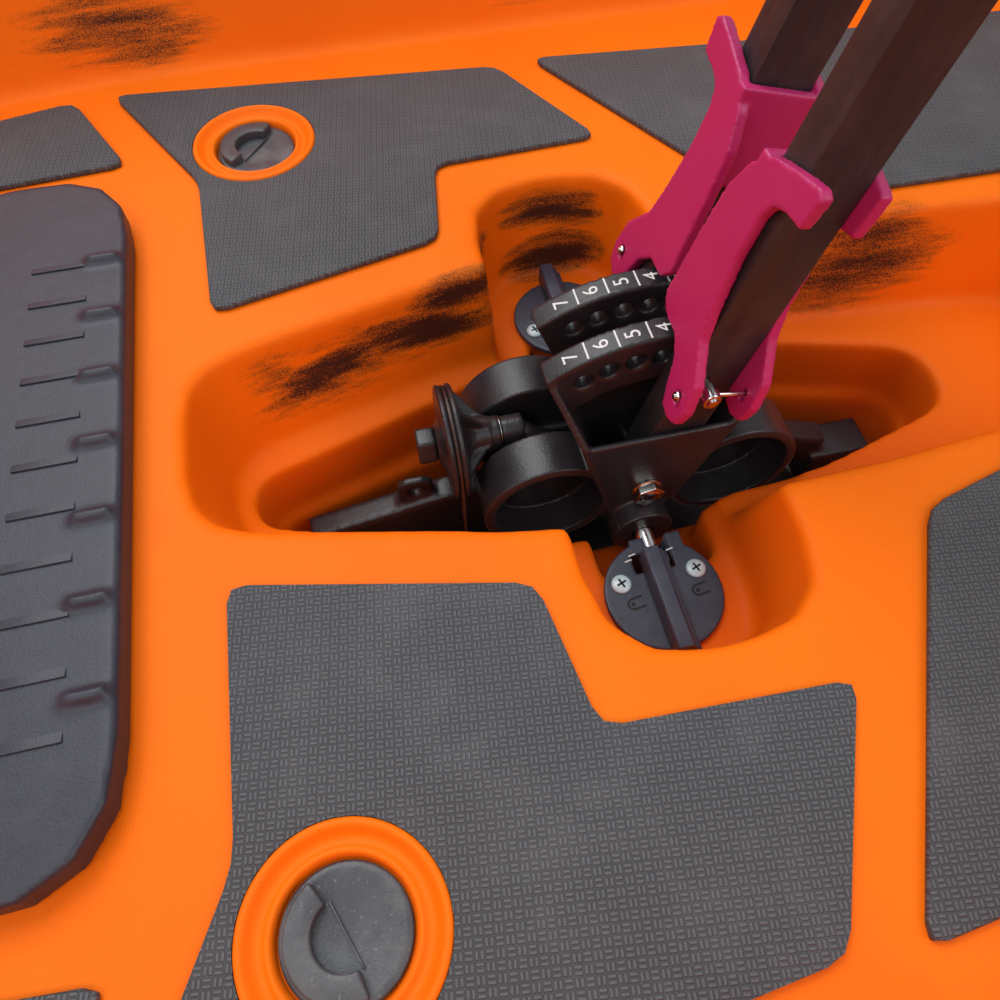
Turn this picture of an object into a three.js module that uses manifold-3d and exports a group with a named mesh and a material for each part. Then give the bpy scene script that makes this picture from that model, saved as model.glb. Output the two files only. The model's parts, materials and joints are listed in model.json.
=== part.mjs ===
// A pedal-driven fishing kayak in millimetres: +X is the bow, +Y is port, +Z is up.
// The origin lies on the hull's flat bottom, amidships on the centreline.
// Every assembly is drawn from named sizes, so a change of one size moves what fits to it.
import * as THREE from 'three';
import { mergeVertices } from 'three/addons/utils/BufferGeometryUtils.js';
import Module from 'manifold-3d';

const wasm = await Module();
wasm.setup();

// Shared gaps and fineness
const gap = 0.3;
const overrun = 20;
const mergeDistance = 0.001;
const roundSides = 18;
const fineSides = 30;
const tubeSides = 8;
const tubeSteps = 12;
const smallSides = 10;
const arcSteps = 12;
const footSteps = 8;

// Hull
const hullLength = 3660;
const hullBeam = 965;
const hullWall = 6;
const sheerHeight = 400;
const bowRise = 120;
const sternRise = 50;
const bowRocker = 130;
const sternRocker = 70;
const flatBottomShare = 0.42;
const stemHalfWidth = 16;
const stemRake = 90;
const deckCrown = 34;
const hullStations = 21;

// Cockpit floor and its wells
const driveX = 380;
const floorHeight = 196;
const padThick = 4;
const cockpitAft = 860;
const cockpitHalfWidth = 331;
const cockpitForeHalfWidth = 180;
const cockpitCorner = 80;
const wallFlareShare = 0.36;
const cargoFore = 690;
const sternDeck = 330;
const cargoAft = hullLength / 2 - sternDeck;
const cargoFloor = 262;
const cargoHalfWidth = 268;
const cargoAftHalfWidth = 182;
const cargoCorner = 60;

// Drive well, measured from the drive's cross shaft station
const wellFore = 224;
const wellAft = 330;
const wellHalfWidth = 90;
const wellCorner = 30;
const upperLedge = 130;
const lowerLedge = 82;
const bayHalfLength = 54;
const bayHalfWidth = 160;
const bayCentreX = -7;
const bayCorner = 46;
const bayFloor = 122;
const hubBayHalfLength = 34;
const hubBayHalfWidth = 90;
const hubBayFloor = 84;
const wellMargin = 20;

// Drain plugs
const plugX = 171;
const plugY = 232;
const ringRadius = 38;
const ringDepth = 7;
const ringEdge = 1.7;
const innerLipRadius = 30;
const innerLipWall = 3;
const drainRadius = 13;
const plugRadius = 25;
const plugThick = 5;
const plugShank = 30;

// Rod holders moulded into the bulkhead behind the seat
const rodHolderX = -597;
const rodHolderY = 300;
const rodHolderRadius = 21;
const rodHolderFloor = 225;

// Bow hatch
const hatchAft = 246;
const hatchLength = 520;
const hatchForeMargin = 34;
const cockpitFore = hatchAft + hatchLength + hatchForeMargin;
const hatchHalfWidth = 205;
const hatchForeHalfWidth = 150;
const hatchCorner = 60;
const coamingInset = 20;
const coamingWall = 8;
const coamingHeight = 10;
const gasketThick = 3;
const lidThick = 4;
const lidSkirt = 12;
const lidSkirtWall = 4;
const lidRibThick = 4;
const lidRibHeight = 5;
const hatchPinRadius = 4;
const knobRadius = 26;
const knobThick = 9;
const knobInset = 95;
const knobStem = 8;
const knobX = hatchAft + knobInset;
const camLength = 84;
const camWidth = 18;
const camThick = 5;

// Rear hatch in the cargo well
const rearHatchX = -1050;
const rearHatchRadius = 100;
const rearHatchNeck = 84;
const rearHatchThick = 10;
const rearHatchPlug = 14;

// Cross shaft and drive spine
const shaftX = -14;
const shaftHeight = 110;
const shaftRadius = 6;
const shaftHalfLength = 86;
const towerHalfWidth = 8.5;
const towerHalfLength = 24;
const spineHalfWidth = 37;
const spineTop = 44;
const spineBottom = -8;
const spineFore = 182;
const spineAft = 203;
const tabHalfWidth = 3;
const tabHoleRadius = 4;
const aftBlockHalf = 14;
const aftBlockLength = 45;
const aftBlockTop = 72;
const lugThick = 10;

// Crank brackets, measured from the cross shaft
const quadrantInner = 10;
const quadrantOuter = 24;
const frontWallInner = 42;
const frontWallOuter = 46;
const hubRadius = 18.5;
const hubOuter = 59.4;
const armPivotX = -2;
const armPivotRise = 28;
const quadrantRadius = 102;
const quadrantHalfAngle = 35;
const quadrantBand = 30;
const pocketWall = 4;
const pocketTopRise = 50;
const pocketTopHalfWidth = 43;
const pocketFootDrop = 19;
const pocketFootHalfWidth = 20;
const lobeForeX = 53;
const lobeAftX = -59;
const lobeRise = 18;
const lobeRadius = 39;
const lobeWall = 6;
const lobeOuter = 41;
const lobeFloorThick = 4;
const portCrankTurn = 0;
const starboardCrankTurn = -2.2;

// Crank arms, levers and pull pins, measured from the arm's pivot along the arm
const armLean = -12.3;
const armWidth = 29;
const armThick = 17.4;
const armLength = 446;
const boltRadius = 5;
const boltHeadRadius = 9.2;
const boltHeadThick = 7;
const pinReach = 88;
const pinOffset = 4;
const pinRadius = 3.4;
const pinHeadY = 57;
const holeRadius = 5;
const holeStep = 8.9;
const holesToBow = 4;
const holesToStern = 2;
const crossPinRadius = 1.4;
const crossPinY = 50;
const crossPinHalfLength = 23;
const leverPlate = 5.6;
const leverPivotReach = 140;
const leverPivotY = 34;
const leverNubRadius = 3;
const leverReach = 205;
const leverFootReach = 72;
const leverOuterY = 60;
const leverInnerY = 5;
const leverWebThick = 5;
const leverSlotHalf = 5;

// Pedals
const pedalSpindleInset = 18;
const pedalSpindleReach = armLength - pedalSpindleInset;
const pedalSpindleRadius = 7;
const pedalLength = 270;
const pedalWidth = 104;
const pedalThick = 12;
const pedalInner = 52;
const pedalRimHeight = 12;
const pedalRim = 8;
const pedalRibs = 6;
const pedalRibHeight = 3;
const pedalBossRadius = 15;
const pedalTilt = -16;

// Idler pulley and its cable
const idlerHeight = 155;
const idlerAft = 60;
const idlerFlangeX = 88;
const idlerRadius = 33;
const idlerGroove = 4;
const idlerWebThick = 3;
const idlerFlangeHalf = 4.5;
const idlerHubRadius = 10;
const idlerBoltRadius = 5;
const idlerNutRadius = 12;
const idlerNutThick = 11;
const idlerStubRadius = 9.4;
const idlerStubLength = 14;
const cableRadius = 1.2;
const cableSteps = 30;

// Fins
const finAxisHeight = -25;
const finBarrelRadius = 13;
const finBarrelLength = 40;
const finPinRadius = 6;
const frontMastX = 112;
const rearMastX = -116;
const mastRadius = 5;
const mastLength = 400;
const finRoot = 48;
const finChord = 176;
const finLength = 385;
const finThick = 15;
const finEdge = 3;
const finRatio = 3;

// Lock plates and levers beside the cross shaft
const lockX = -8.5;
const lockY = 105;
const lockPlateRadius = 33;
const lockPlateThick = 4;
const lockBlockInner = 70;
const lockBlockOuter = 79.6;
const lockBlockHalf = 15;
const lockLeverWidth = 15;
const lockLeverTop = 13.7;
const lockLeverInner = 82.5;
const lockLeverOuter = 141.5;
const lockNoseThick = 5.5;
const lockNoseHalf = 4;
const lockNoseSweep = 17;
const lockScrewRadius = 5.6;
const lockScrewSpacing = 21.7;
const lockScrewInboard = 9.6;
const lockStemRadius = 5;
const lockScrewPlaces = [1, -1].map((end) =>
  [lockX + end * lockScrewSpacing, lockY - lockScrewInboard]);
const lockScrewThick = 2;

// Seat
const seatFore = -110;
const seatDepth = 390;
const seatHalfWidth = 225;
const seatTubeRadius = 11;
const seatTubeSteps = 22;
const seatRailHeight = 300;
const seatFootInset = 30;
const seatPanThick = 3;
const seatCushionThick = 34;
const seatCushionHalfWidth = 180;
const seatLugThick = 6;
const seatLugInner = 206;
const seatHingeInset = 15;
const seatHingeHeight = 372;
const seatBossRadius = 14;
const seatBossInner = 184;
const seatBoltRadius = 5;
const seatBackHeight = 430;
const seatBackThick = 30;
const seatBackFoot = 62;
const seatBackLean = -14;
const cushionStations = 16;
const cushionPoints = 10;
const cushionChannels = 4;
const channelDepthShare = 0.16;

// Rudder and steering
const rudderPinRadius = 6;
const rudderPinX = 48;
const rudderLow = 300;
const rudderHigh = 420;
const rudderKnuckle = 15;
const rudderKnuckleRadius = 14;
const rudderBracketHalf = 15;
const rudderBracketThick = 24;
const rudderCheekInner = 6;
const rudderCheekOuter = 14;
const rudderArm = 66;
const rudderBoltRise = 34;
const rudderEye = 20;
const rudderBladeLength = 310;
const rudderBladeHalfThick = 4.5;
const steeringX = -60;
const steeringY = 432;
const steeringBaseRadius = 22;
const steeringBaseTop = 412;
const steeringPinRadius = 6;
const steeringPinLength = 28;
const steeringHubRadius = 17;
const steeringHubThick = 18;
const steeringReach = 120;
const steeringGripRadius = 10;

// Carrying handles and rails
const handleRadius = 9;
const handleHalfSpan = 75;
const handleRise = 34;
const foreRimReach = 110;
const sternHandleInset = 190;
const bowHandleX = (driveX + cockpitFore + foreRimReach + hullLength / 2) / 2;
const sternHandleX = sternHandleInset - hullLength / 2;
const sideHandleX = -260;
const sideHandleHeight = 330;
const railFore = -200;
const railAft = -560;
const railY = 432;
const railWidth = 26;
const railTop = 416;
const railSlotWidth = 8;
const railChannelWidth = 16;
const railLip = 4;
const railChannelDepth = 10;

// Colours
const orange = 0xfc6a06;
const padGrey = 0x4b4a50;
const blackPlastic = 0x2b282b;
const armBlack = 0x33292a;
const magenta = 0xb8295b;
const steel = 0xc4c6c9;
const rubberGrey = 0x55575a;
const finGrey = 0x3a3c40;
const cushionGrey = 0x3c3d42;

const degrees = Math.PI / 180;

// Solids and outlines

function stripped(geometry) {
  const bare = geometry.clone();
  bare.deleteAttribute('normal');
  bare.deleteAttribute('uv');
  return mergeVertices(bare, mergeDistance);
}

function solidOf(geometry) {
  const merged = stripped(geometry);
  return new wasm.Manifold(new wasm.Mesh({
    numProp: 3,
    vertProperties: new Float32Array(merged.attributes.position.array),
    triVerts: new Uint32Array(merged.index.array),
  }));
}

function geometryOf(solid) {
  const mesh = solid.getMesh();
  const geometry = new THREE.BufferGeometry();
  geometry.setAttribute('position', new THREE.BufferAttribute(new Float32Array(mesh.vertProperties), 3));
  geometry.setIndex(new THREE.BufferAttribute(new Uint32Array(mesh.triVerts), 1));
  geometry.computeVertexNormals();
  return geometry;
}

function join(geometries) {
  return geometryOf(geometries.map(solidOf).reduce((whole, next) => whole.add(next)));
}

function carve(body, tools) {
  return geometryOf(tools.map(solidOf).reduce((left, tool) => left.subtract(tool), solidOf(body)));
}

function insideOut(geometry) {
  const index = Array.from(geometry.index.array);
  const flipped = [];
  for (let i = 0; i < index.length; i += 3) flipped.push(index[i], index[i + 2], index[i + 1]);
  geometry.setIndex(flipped);
  return geometry;
}

function mirrored(geometry) {
  const copy = insideOut(stripped(geometry).scale(1, -1, 1));
  copy.computeVertexNormals();
  return copy;
}

function block(x0, x1, y0, y1, z0, z1) {
  const box = new THREE.BoxGeometry(x1 - x0, y1 - y0, z1 - z0);
  return box.translate((x0 + x1) / 2, (y0 + y1) / 2, (z0 + z1) / 2);
}

// Puts a shape drawn in its own X-Y plane with depth along Z square to the named axis.
function turnTo(axis, geometry) {
  if (axis === 'x') {
    const turn = new THREE.Matrix4().makeBasis(
      new THREE.Vector3(0, 1, 0), new THREE.Vector3(0, 0, 1), new THREE.Vector3(1, 0, 0));
    return geometry.applyMatrix4(turn);
  }
  if (axis === 'y') {
    const turn = new THREE.Matrix4().makeBasis(
      new THREE.Vector3(1, 0, 0), new THREE.Vector3(0, 0, 1), new THREE.Vector3(0, -1, 0));
    return geometry.applyMatrix4(turn);
  }
  return geometry;
}

// A flat plate: the outline lies in YZ, XZ or XY, and it is thick along X, Y or Z.
function plate(axis, outline, from, to, holes = []) {
  const shape = new THREE.Shape(outline.map(([u, v]) => new THREE.Vector2(u, v)));
  for (const hole of holes) {
    shape.holes.push(new THREE.Path(hole.map(([u, v]) => new THREE.Vector2(u, v))));
  }
  const geometry = new THREE.ExtrudeGeometry(shape, { depth: to - from, bevelEnabled: false });
  geometry.translate(0, 0, axis === 'y' ? -to : from);
  return turnTo(axis, geometry);
}

function circle(u, v, radius, sides = roundSides) {
  return Array.from({ length: sides }, (_, i) => {
    const angle = (i + 0.5) * 2 * Math.PI / sides;
    return [u + radius * Math.cos(angle), v + radius * Math.sin(angle)];
  });
}

// A round bar along an axis: u and v are its centre in the plane across that axis.
function rod(axis, radius, from, to, u = 0, v = 0, sides = roundSides) {
  return plate(axis, circle(u, v, radius, sides), from, to);
}

// The radius at which a polygon's flats, not its corners, clear a round part that turns in it.
function clearRadius(radius, sides) {
  return radius / Math.cos(Math.PI / sides);
}

// The tool for a hole that a pin of the given radius turns in.
function bore(axis, pinRadius, from, to, u = 0, v = 0) {
  return rod(axis, clearRadius(pinRadius + gap, smallSides), from, to, u, v, smallSides);
}

function tube(points, radius, steps, sides = smallSides, closed = false) {
  const path = new THREE.CatmullRomCurve3(points.map((p) => new THREE.Vector3(...p)), closed);
  const section = new THREE.Shape(circle(0, 0, radius, sides).map(([u, v]) => new THREE.Vector2(u, v)));
  return new THREE.ExtrudeGeometry(section, { steps, extrudePath: path, bevelEnabled: false });
}

// Corners are [u, v, radius]; each is rounded by a curve of the given steps.
function rounded(corners, steps = 3) {
  const count = corners.length;
  const outline = [];
  corners.forEach(([u, v, radius], i) => {
    const here = new THREE.Vector2(u, v);
    const before = new THREE.Vector2(...corners[(i + count - 1) % count]);
    const after = new THREE.Vector2(...corners[(i + 1) % count]);
    const toBefore = before.sub(here);
    const toAfter = after.sub(here);
    const reach = Math.min(radius, toBefore.length() * 0.45, toAfter.length() * 0.45);
    if (reach <= 0) {
      outline.push([u, v]);
      return;
    }
    const start = here.clone().addScaledVector(toBefore.normalize(), reach);
    const end = here.clone().addScaledVector(toAfter.normalize(), reach);
    for (const p of new THREE.QuadraticBezierCurve(start, here, end).getPoints(steps)) {
      outline.push([p.x, p.y]);
    }
  });
  return outline;
}

// Moves every side of an anticlockwise outline outwards by a distance.
function grown(outline, distance) {
  const count = outline.length;
  return outline.map(([u, v], i) => {
    const [pu, pv] = outline[(i + count - 1) % count];
    const [nu, nv] = outline[(i + 1) % count];
    const a = new THREE.Vector2(v - pv, pu - u).normalize();
    const b = new THREE.Vector2(nv - v, u - nu).normalize();
    const mean = a.clone().add(b).normalize();
    const stretch = distance / Math.max(mean.dot(a), 0.5);
    return [u + mean.x * stretch, v + mean.y * stretch];
  });
}

// A closed body through rings of equal count, with flat ends; flat() maps a point to its end's plane.
function loft(rings, flat) {
  const count = rings[0].length;
  const positions = rings.flat().flat();
  const index = [];
  for (let r = 0; r + 1 < rings.length; r++) {
    for (let i = 0; i < count; i++) {
      const a = r * count + i;
      const b = r * count + (i + 1) % count;
      index.push(a, b, b + count, a, b + count, a + count);
    }
  }
  [0, rings.length - 1].forEach((r) => {
    const face = rings[r].map((p) => new THREE.Vector2(...flat(p)));
    for (const [a, b, c] of THREE.ShapeUtils.triangulateShape(face, [])) {
      const o = r * count;
      index.push(...(r === 0 ? [o + a, o + c, o + b] : [o + a, o + b, o + c]));
    }
  });
  const geometry = new THREE.BufferGeometry();
  geometry.setAttribute('position', new THREE.Float32BufferAttribute(positions, 3));
  geometry.setIndex(index);
  return volumeOf(geometry) < 0 ? insideOut(geometry) : geometry;
}

function volumeOf(geometry) {
  const position = geometry.attributes.position;
  const index = geometry.index.array;
  const corner = (i) => new THREE.Vector3().fromBufferAttribute(position, index[i]);
  let sum = 0;
  for (let i = 0; i < index.length; i += 3) sum += corner(i).dot(corner(i + 1).cross(corner(i + 2)));
  return sum;
}

// A well that opens upwards: one outline at its floor and one of equal count at its top.
function well(low, high, floor, top) {
  const ring = (outline, z) => outline.map(([x, y]) => [x, y, z]);
  return loft([ring(low, floor), ring(high, top)], (p) => [p[0], p[1]]);
}

// Closes a list of port-side corners with their mirror images, turned anticlockwise.
function bothSides(half) {
  const whole = [...half, ...half.slice().reverse().map(([x, y, ...rest]) => [x, -y, ...rest])];
  const area = THREE.ShapeUtils.area(whole.map(([x, y]) => new THREE.Vector2(x, y)));
  return area < 0 ? whole.reverse() : whole;
}

// Sub-part bookkeeping
const kayak = new THREE.Group();
const finishes = {
  hull: { color: orange, roughness: 0.5, metalness: 0 },
  pad: { color: padGrey, roughness: 0.9, metalness: 0 },
  plastic: { color: blackPlastic, roughness: 0.45, metalness: 0 },
  arm: { color: armBlack, roughness: 0.4, metalness: 0.4 },
  lever: { color: magenta, roughness: 0.35, metalness: 0 },
  metal: { color: steel, roughness: 0.2, metalness: 1 },
  rubber: { color: rubberGrey, roughness: 0.7, metalness: 0 },
  fin: { color: finGrey, roughness: 0.6, metalness: 0 },
  cushion: { color: cushionGrey, roughness: 0.95, metalness: 0 },
};

function add(parent, name, finish, geometry) {
  const mesh = new THREE.Mesh(geometry, new THREE.MeshStandardMaterial(finishes[finish]));
  mesh.name = name;
  parent.add(mesh);
  return mesh;
}

function groupAt(parent, x, y, z, turnY = 0) {
  const group = new THREE.Group();
  group.position.set(x, y, z);
  group.rotation.y = turnY * degrees;
  parent.add(group);
  return group;
}

// Hull

// Half of one cross-section as shares: outwards of the half width, upwards of the depth,
// and the share of the deck's crown that each point takes.
const sectionShares = [
  [0.36, 0, 0], [0.64, 0, 0], [0.84, 0.06, 0], [0.95, 0.2, 0], [1, 0.42, 0], [1, 0.68, 0],
  [0.985, 0.88, 0], [0.955, 0.97, 0], [0.915, 1, 0], [0.85, 1, 0.15], [0.45, 1, 0.8],
];
const bowFullness = 2.5;
const bowTaper = 0.78;
const sternFullness = 3.4;
const sternTaper = 0.6;

function hullAt(x) {
  const toBow = x >= 0;
  const share = Math.min(Math.abs(x) / (hullLength / 2), 1);
  const fullness = toBow ? bowFullness : sternFullness;
  const taper = toBow ? bowTaper : sternTaper;
  const past = Math.max(0, (share - flatBottomShare) / (1 - flatBottomShare));
  return {
    half: stemHalfWidth + (hullBeam / 2 - stemHalfWidth) * (1 - share ** fullness) ** taper,
    bottom: (toBow ? bowRocker : sternRocker) * past ** 2,
    sheer: sheerHeight + (toBow ? bowRise : sternRise) * share ** 2,
  };
}

function hullRing(x, inset) {
  const { half, bottom, sheer } = hullAt(x);
  const low = bottom + inset;
  const depth = sheer - inset - low;
  const wide = half - inset;
  const port = sectionShares.map(([out, up, crown]) => [wide * out, low + depth * up + deckCrown * crown]);
  const starboard = port.slice().reverse().map(([y, z]) => [-y, z]);
  const ring = [[0, low], ...port, [0, low + depth + deckCrown], ...starboard];
  const drawn = x * (1 - 2 * inset / hullLength);
  const rake = stemRake * (Math.max(x, 0) / (hullLength / 2)) ** 8;
  return ring.map(([y, z]) => [drawn + rake * (z - sheer - deckCrown) / sheerHeight, y, z]);
}

function hullBody(inset) {
  const rings = [];
  for (let i = 0; i <= hullStations; i++) {
    rings.push(hullRing(-Math.cos(Math.PI * i / hullStations) * hullLength / 2, inset));
  }
  return loft(rings, (p) => [p[1], p[2]]);
}

const deckTop = sheerHeight + bowRise + deckCrown + overrun;

// A well with flared walls from its floor up through the deck, grown by the wall inside the hull.
function flaredWell(outline, floor, extra) {
  const flare = (deckTop - floor) * wallFlareShare;
  return well(grown(outline, extra), grown(outline, extra + flare), floor - extra, deckTop);
}

// A well with upright walls between two heights.
function uprightWell(outline, low, high, extra) {
  const sides = grown(outline, extra);
  return well(sides, sides, low - extra, high);
}

const hatchShoulder = driveX + hatchAft + hatchLength * 0.2;
const cockpitOutline = rounded(bothSides([
  [driveX + cockpitFore, cockpitForeHalfWidth, cockpitCorner],
  [hatchShoulder, cockpitHalfWidth, cockpitCorner * 2],
  [driveX - cockpitAft, cockpitHalfWidth, cockpitCorner],
]), 4);
const cargoOutline = rounded(bothSides([
  [-cargoFore, cargoHalfWidth, cargoCorner],
  [-cargoAft, cargoAftHalfWidth, cargoCorner],
]), 4);

// Stations and half widths, as shares of the well's own, of its rim, its two ledges and its slot.
const wellShares = {
  rim: [[1, 0.58], [0.24, 1], [-0.37, 1], [-1, 0.82]],
  upperLedge: [[0.955, 0.33], [0.24, 0.84], [-0.37, 0.75], [-0.94, 0.56]],
  lowerLedge: [[0.915, 0.16], [0.24, 0.68], [-0.37, 0.57], [-0.685, 0.25]],
  slot: [[0.893, 0.11], [0.24, 0.56], [-0.37, 0.5], [-0.675, 0.2]],
};

function driveWellOutline(shares) {
  return rounded(bothSides(shares.map(([along, out]) => [
    driveX + along * (along > 0 ? wellFore : wellAft), out * wellHalfWidth, wellCorner,
  ])), 3);
}

function rectangle(x, y, halfLength, halfWidth, corner) {
  return rounded([
    [x - halfLength, y - halfWidth, corner], [x + halfLength, y - halfWidth, corner],
    [x + halfLength, y + halfWidth, corner], [x - halfLength, y + halfWidth, corner],
  ], 3);
}

const ledgeStep = 10;
const rimOutline = driveWellOutline(wellShares.rim);
const upperOutline = driveWellOutline(wellShares.upperLedge);
const lowerOutline = driveWellOutline(wellShares.lowerLedge);
const slotOutline = driveWellOutline(wellShares.slot);
const bayRim = rectangle(driveX + bayCentreX, 0, bayHalfLength, bayHalfWidth, bayCorner);
const bayFoot = rectangle(
  driveX + bayCentreX, 0, bayHalfLength - ledgeStep / 2, bayHalfWidth - ledgeStep / 2, bayCorner);
const hubBay = rectangle(driveX + shaftX, 0, hubBayHalfLength, hubBayHalfWidth, ledgeStep);
const topOfFloor = floorHeight + hullWall;

function wellTools(extra) {
  return [
    flaredWell(cockpitOutline, floorHeight, extra),
    flaredWell(cargoOutline, cargoFloor, extra),
    well(grown(upperOutline, extra), grown(rimOutline, extra), upperLedge - extra, topOfFloor),
    uprightWell(lowerOutline, lowerLedge, topOfFloor, extra),
    uprightWell(slotOutline, -overrun, topOfFloor, extra),
    well(grown(bayFoot, extra), grown(bayRim, extra), bayFloor - extra, topOfFloor),
    uprightWell(hubBay, hubBayFloor, topOfFloor, extra),
    ...[1, -1].flatMap((side) => drainTools(side, extra)),
    ...[1, -1].map((side) => rod('z', rodHolderRadius + extra, rodHolderFloor - extra, deckTop,
      rodHolderX, side * rodHolderY)),
  ];
}

function drainTools(side, extra) {
  const x = driveX + plugX;
  const y = side * plugY;
  return [
    rod('z', ringRadius + extra, floorHeight - ringDepth - extra, topOfFloor, x, y, fineSides),
    rod('z', drainRadius + extra, -overrun, topOfFloor, x, y),
  ];
}

const hatchRim = rounded(bothSides([
  [driveX + hatchAft + hatchLength, hatchForeHalfWidth, hatchCorner],
  [driveX + hatchAft, hatchHalfWidth, hatchCorner],
]), 4);

const rearNeck = circle(rearHatchX, 0, clearRadius(rearHatchNeck, roundSides));

// The moulding around the drive well is a piece of its own, which meets the hull along flat faces.
function makeHullAndWell() {
  const shell = wellTools(0).map(solidOf).reduce((left, tool) => left.subtract(tool), solidOf(hullBody(0)));
  const cavity = wellTools(hullWall).map(solidOf)
    .reduce((left, tool) => left.subtract(tool), solidOf(hullBody(hullWall)));
  const coaming = solidOf(plate('z', grown(hatchRim, -coamingInset),
    floorHeight - hullWall, floorHeight + coamingHeight));
  const opening = solidOf(plate('z', grown(hatchRim, -coamingInset - coamingWall),
    floorHeight - hullWall - overrun, floorHeight + coamingHeight + overrun));
  const rearOpening = solidOf(plate('z', rearNeck, cargoFloor - hullWall - overrun, cargoFloor + overrun));
  const lips = [1, -1].map((side) => {
    const ring = (radius) => solidOf(rod('z', radius, floorHeight - ringDepth - gap,
      floorHeight - ringDepth / 3, driveX + plugX, side * plugY, fineSides));
    return ring(innerLipRadius).subtract(ring(innerLipRadius - innerLipWall));
  });
  const extras = [...lips, ...hatchLugs().map(solidOf)];
  const moulding = extras.reduce((whole, extra) => whole.add(extra), shell.subtract(cavity))
    .add(coaming).subtract(opening).subtract(rearOpening);
  const aroundWell = solidOf(block(driveX - wellAft - wellMargin, driveX + wellFore + wellMargin,
    -bayHalfWidth - wellMargin, bayHalfWidth + wellMargin, -overrun, floorHeight + overrun));
  return [moulding.subtract(aroundWell), moulding.intersect(aroundWell)].map(geometryOf);
}

// Deck pads

// Corners as shares of a pad's length and span, measured from its aft inboard corner.
const mainPadLength = 312;
const mainPadSpan = 220;
const mainPadAft = -50;
const mainPadInner = 85;
const mainPadShares = [
  [0.385, 0.136], [0.817, 0], [0.827, 0.523], [1, 1], [0.154, 0.886], [0, 0.468], [0.353, 0.445],
];
const rearPadLength = 400;
const rearPadSpan = 190;
const rearPadAft = -430;
const rearPadInner = 94;
const rearPadShares = [[0, 0], [0.56, 0.02], [0.77, 0.13], [1, 1], [0.655, 0.93], [0, 0.89]];
const frontPadLength = 227;
const frontPadSpan = 91;
const frontPadAft = 253;
const frontPadInner = 212;
const frontPadShares = [[0, 0.18], [0.96, 0], [1, 0.56], [0.154, 1]];
const padCorner = 9;

function padOutline(shares, aft, inner, length, span) {
  return rounded(shares.map(([u, v]) => [aft + u * length, inner + v * span, padCorner]), 2);
}

function addPads(parent) {
  const kinds = [
    ['deck_pad', mainPadShares, mainPadAft, mainPadInner, mainPadLength, mainPadSpan,
      [circle(plugX, plugY, ringRadius + ringEdge, fineSides)]],
    ['rear_pad', rearPadShares, rearPadAft, rearPadInner, rearPadLength, rearPadSpan, []],
    ['front_pad', frontPadShares, frontPadAft, frontPadInner, frontPadLength, frontPadSpan, []],
  ];
  for (const [name, shares, aft, inner, length, span, holes] of kinds) {
    const pad = plate('z', padOutline(shares, aft, inner, length, span),
      floorHeight, floorHeight + padThick, holes);
    add(parent, `${name}_port`, 'pad', pad);
    add(parent, `${name}_starboard`, 'pad', mirrored(pad));
  }
}

// Drain plugs

function addPlugs(parent) {
  const seat = floorHeight - ringDepth;
  const ring = (radius) => rod('z', radius, seat + plugThick - gap, seat + plugThick * 2, plugX, plugY,
    fineSides);
  const grip = carve(ring(plugRadius * 0.8), [
    ring(plugRadius * 0.42),
    block(plugX, plugX + plugRadius, plugY - plugRadius, plugY + plugRadius * 0.1,
      seat + plugThick / 2, seat + plugThick * 2 + overrun),
  ]);
  const plug = join([
    rod('z', plugRadius, seat, seat + plugThick, plugX, plugY, fineSides),
    rod('z', drainRadius - gap, seat - plugShank, seat + gap, plugX, plugY),
    grip,
  ]);
  add(parent, 'scupper_plug_port', 'rubber', plug);
  add(parent, 'scupper_plug_starboard', 'rubber', mirrored(plug));
}

// Bow hatch

const lidUnder = floorHeight + coamingHeight + gasketThick;
const lidTop = lidUnder + lidThick;
const hatchPinX = hatchAft + hatchLength + lidSkirt;
const hatchPinZ = lidUnder + lidThick;
const knuckleRadius = hatchPinRadius * 2;
const knuckleThick = 14;
const lidRibSpacing = 42;
const localHatch = hatchRim.map(([x, y]) => [x - driveX, y]);

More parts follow.
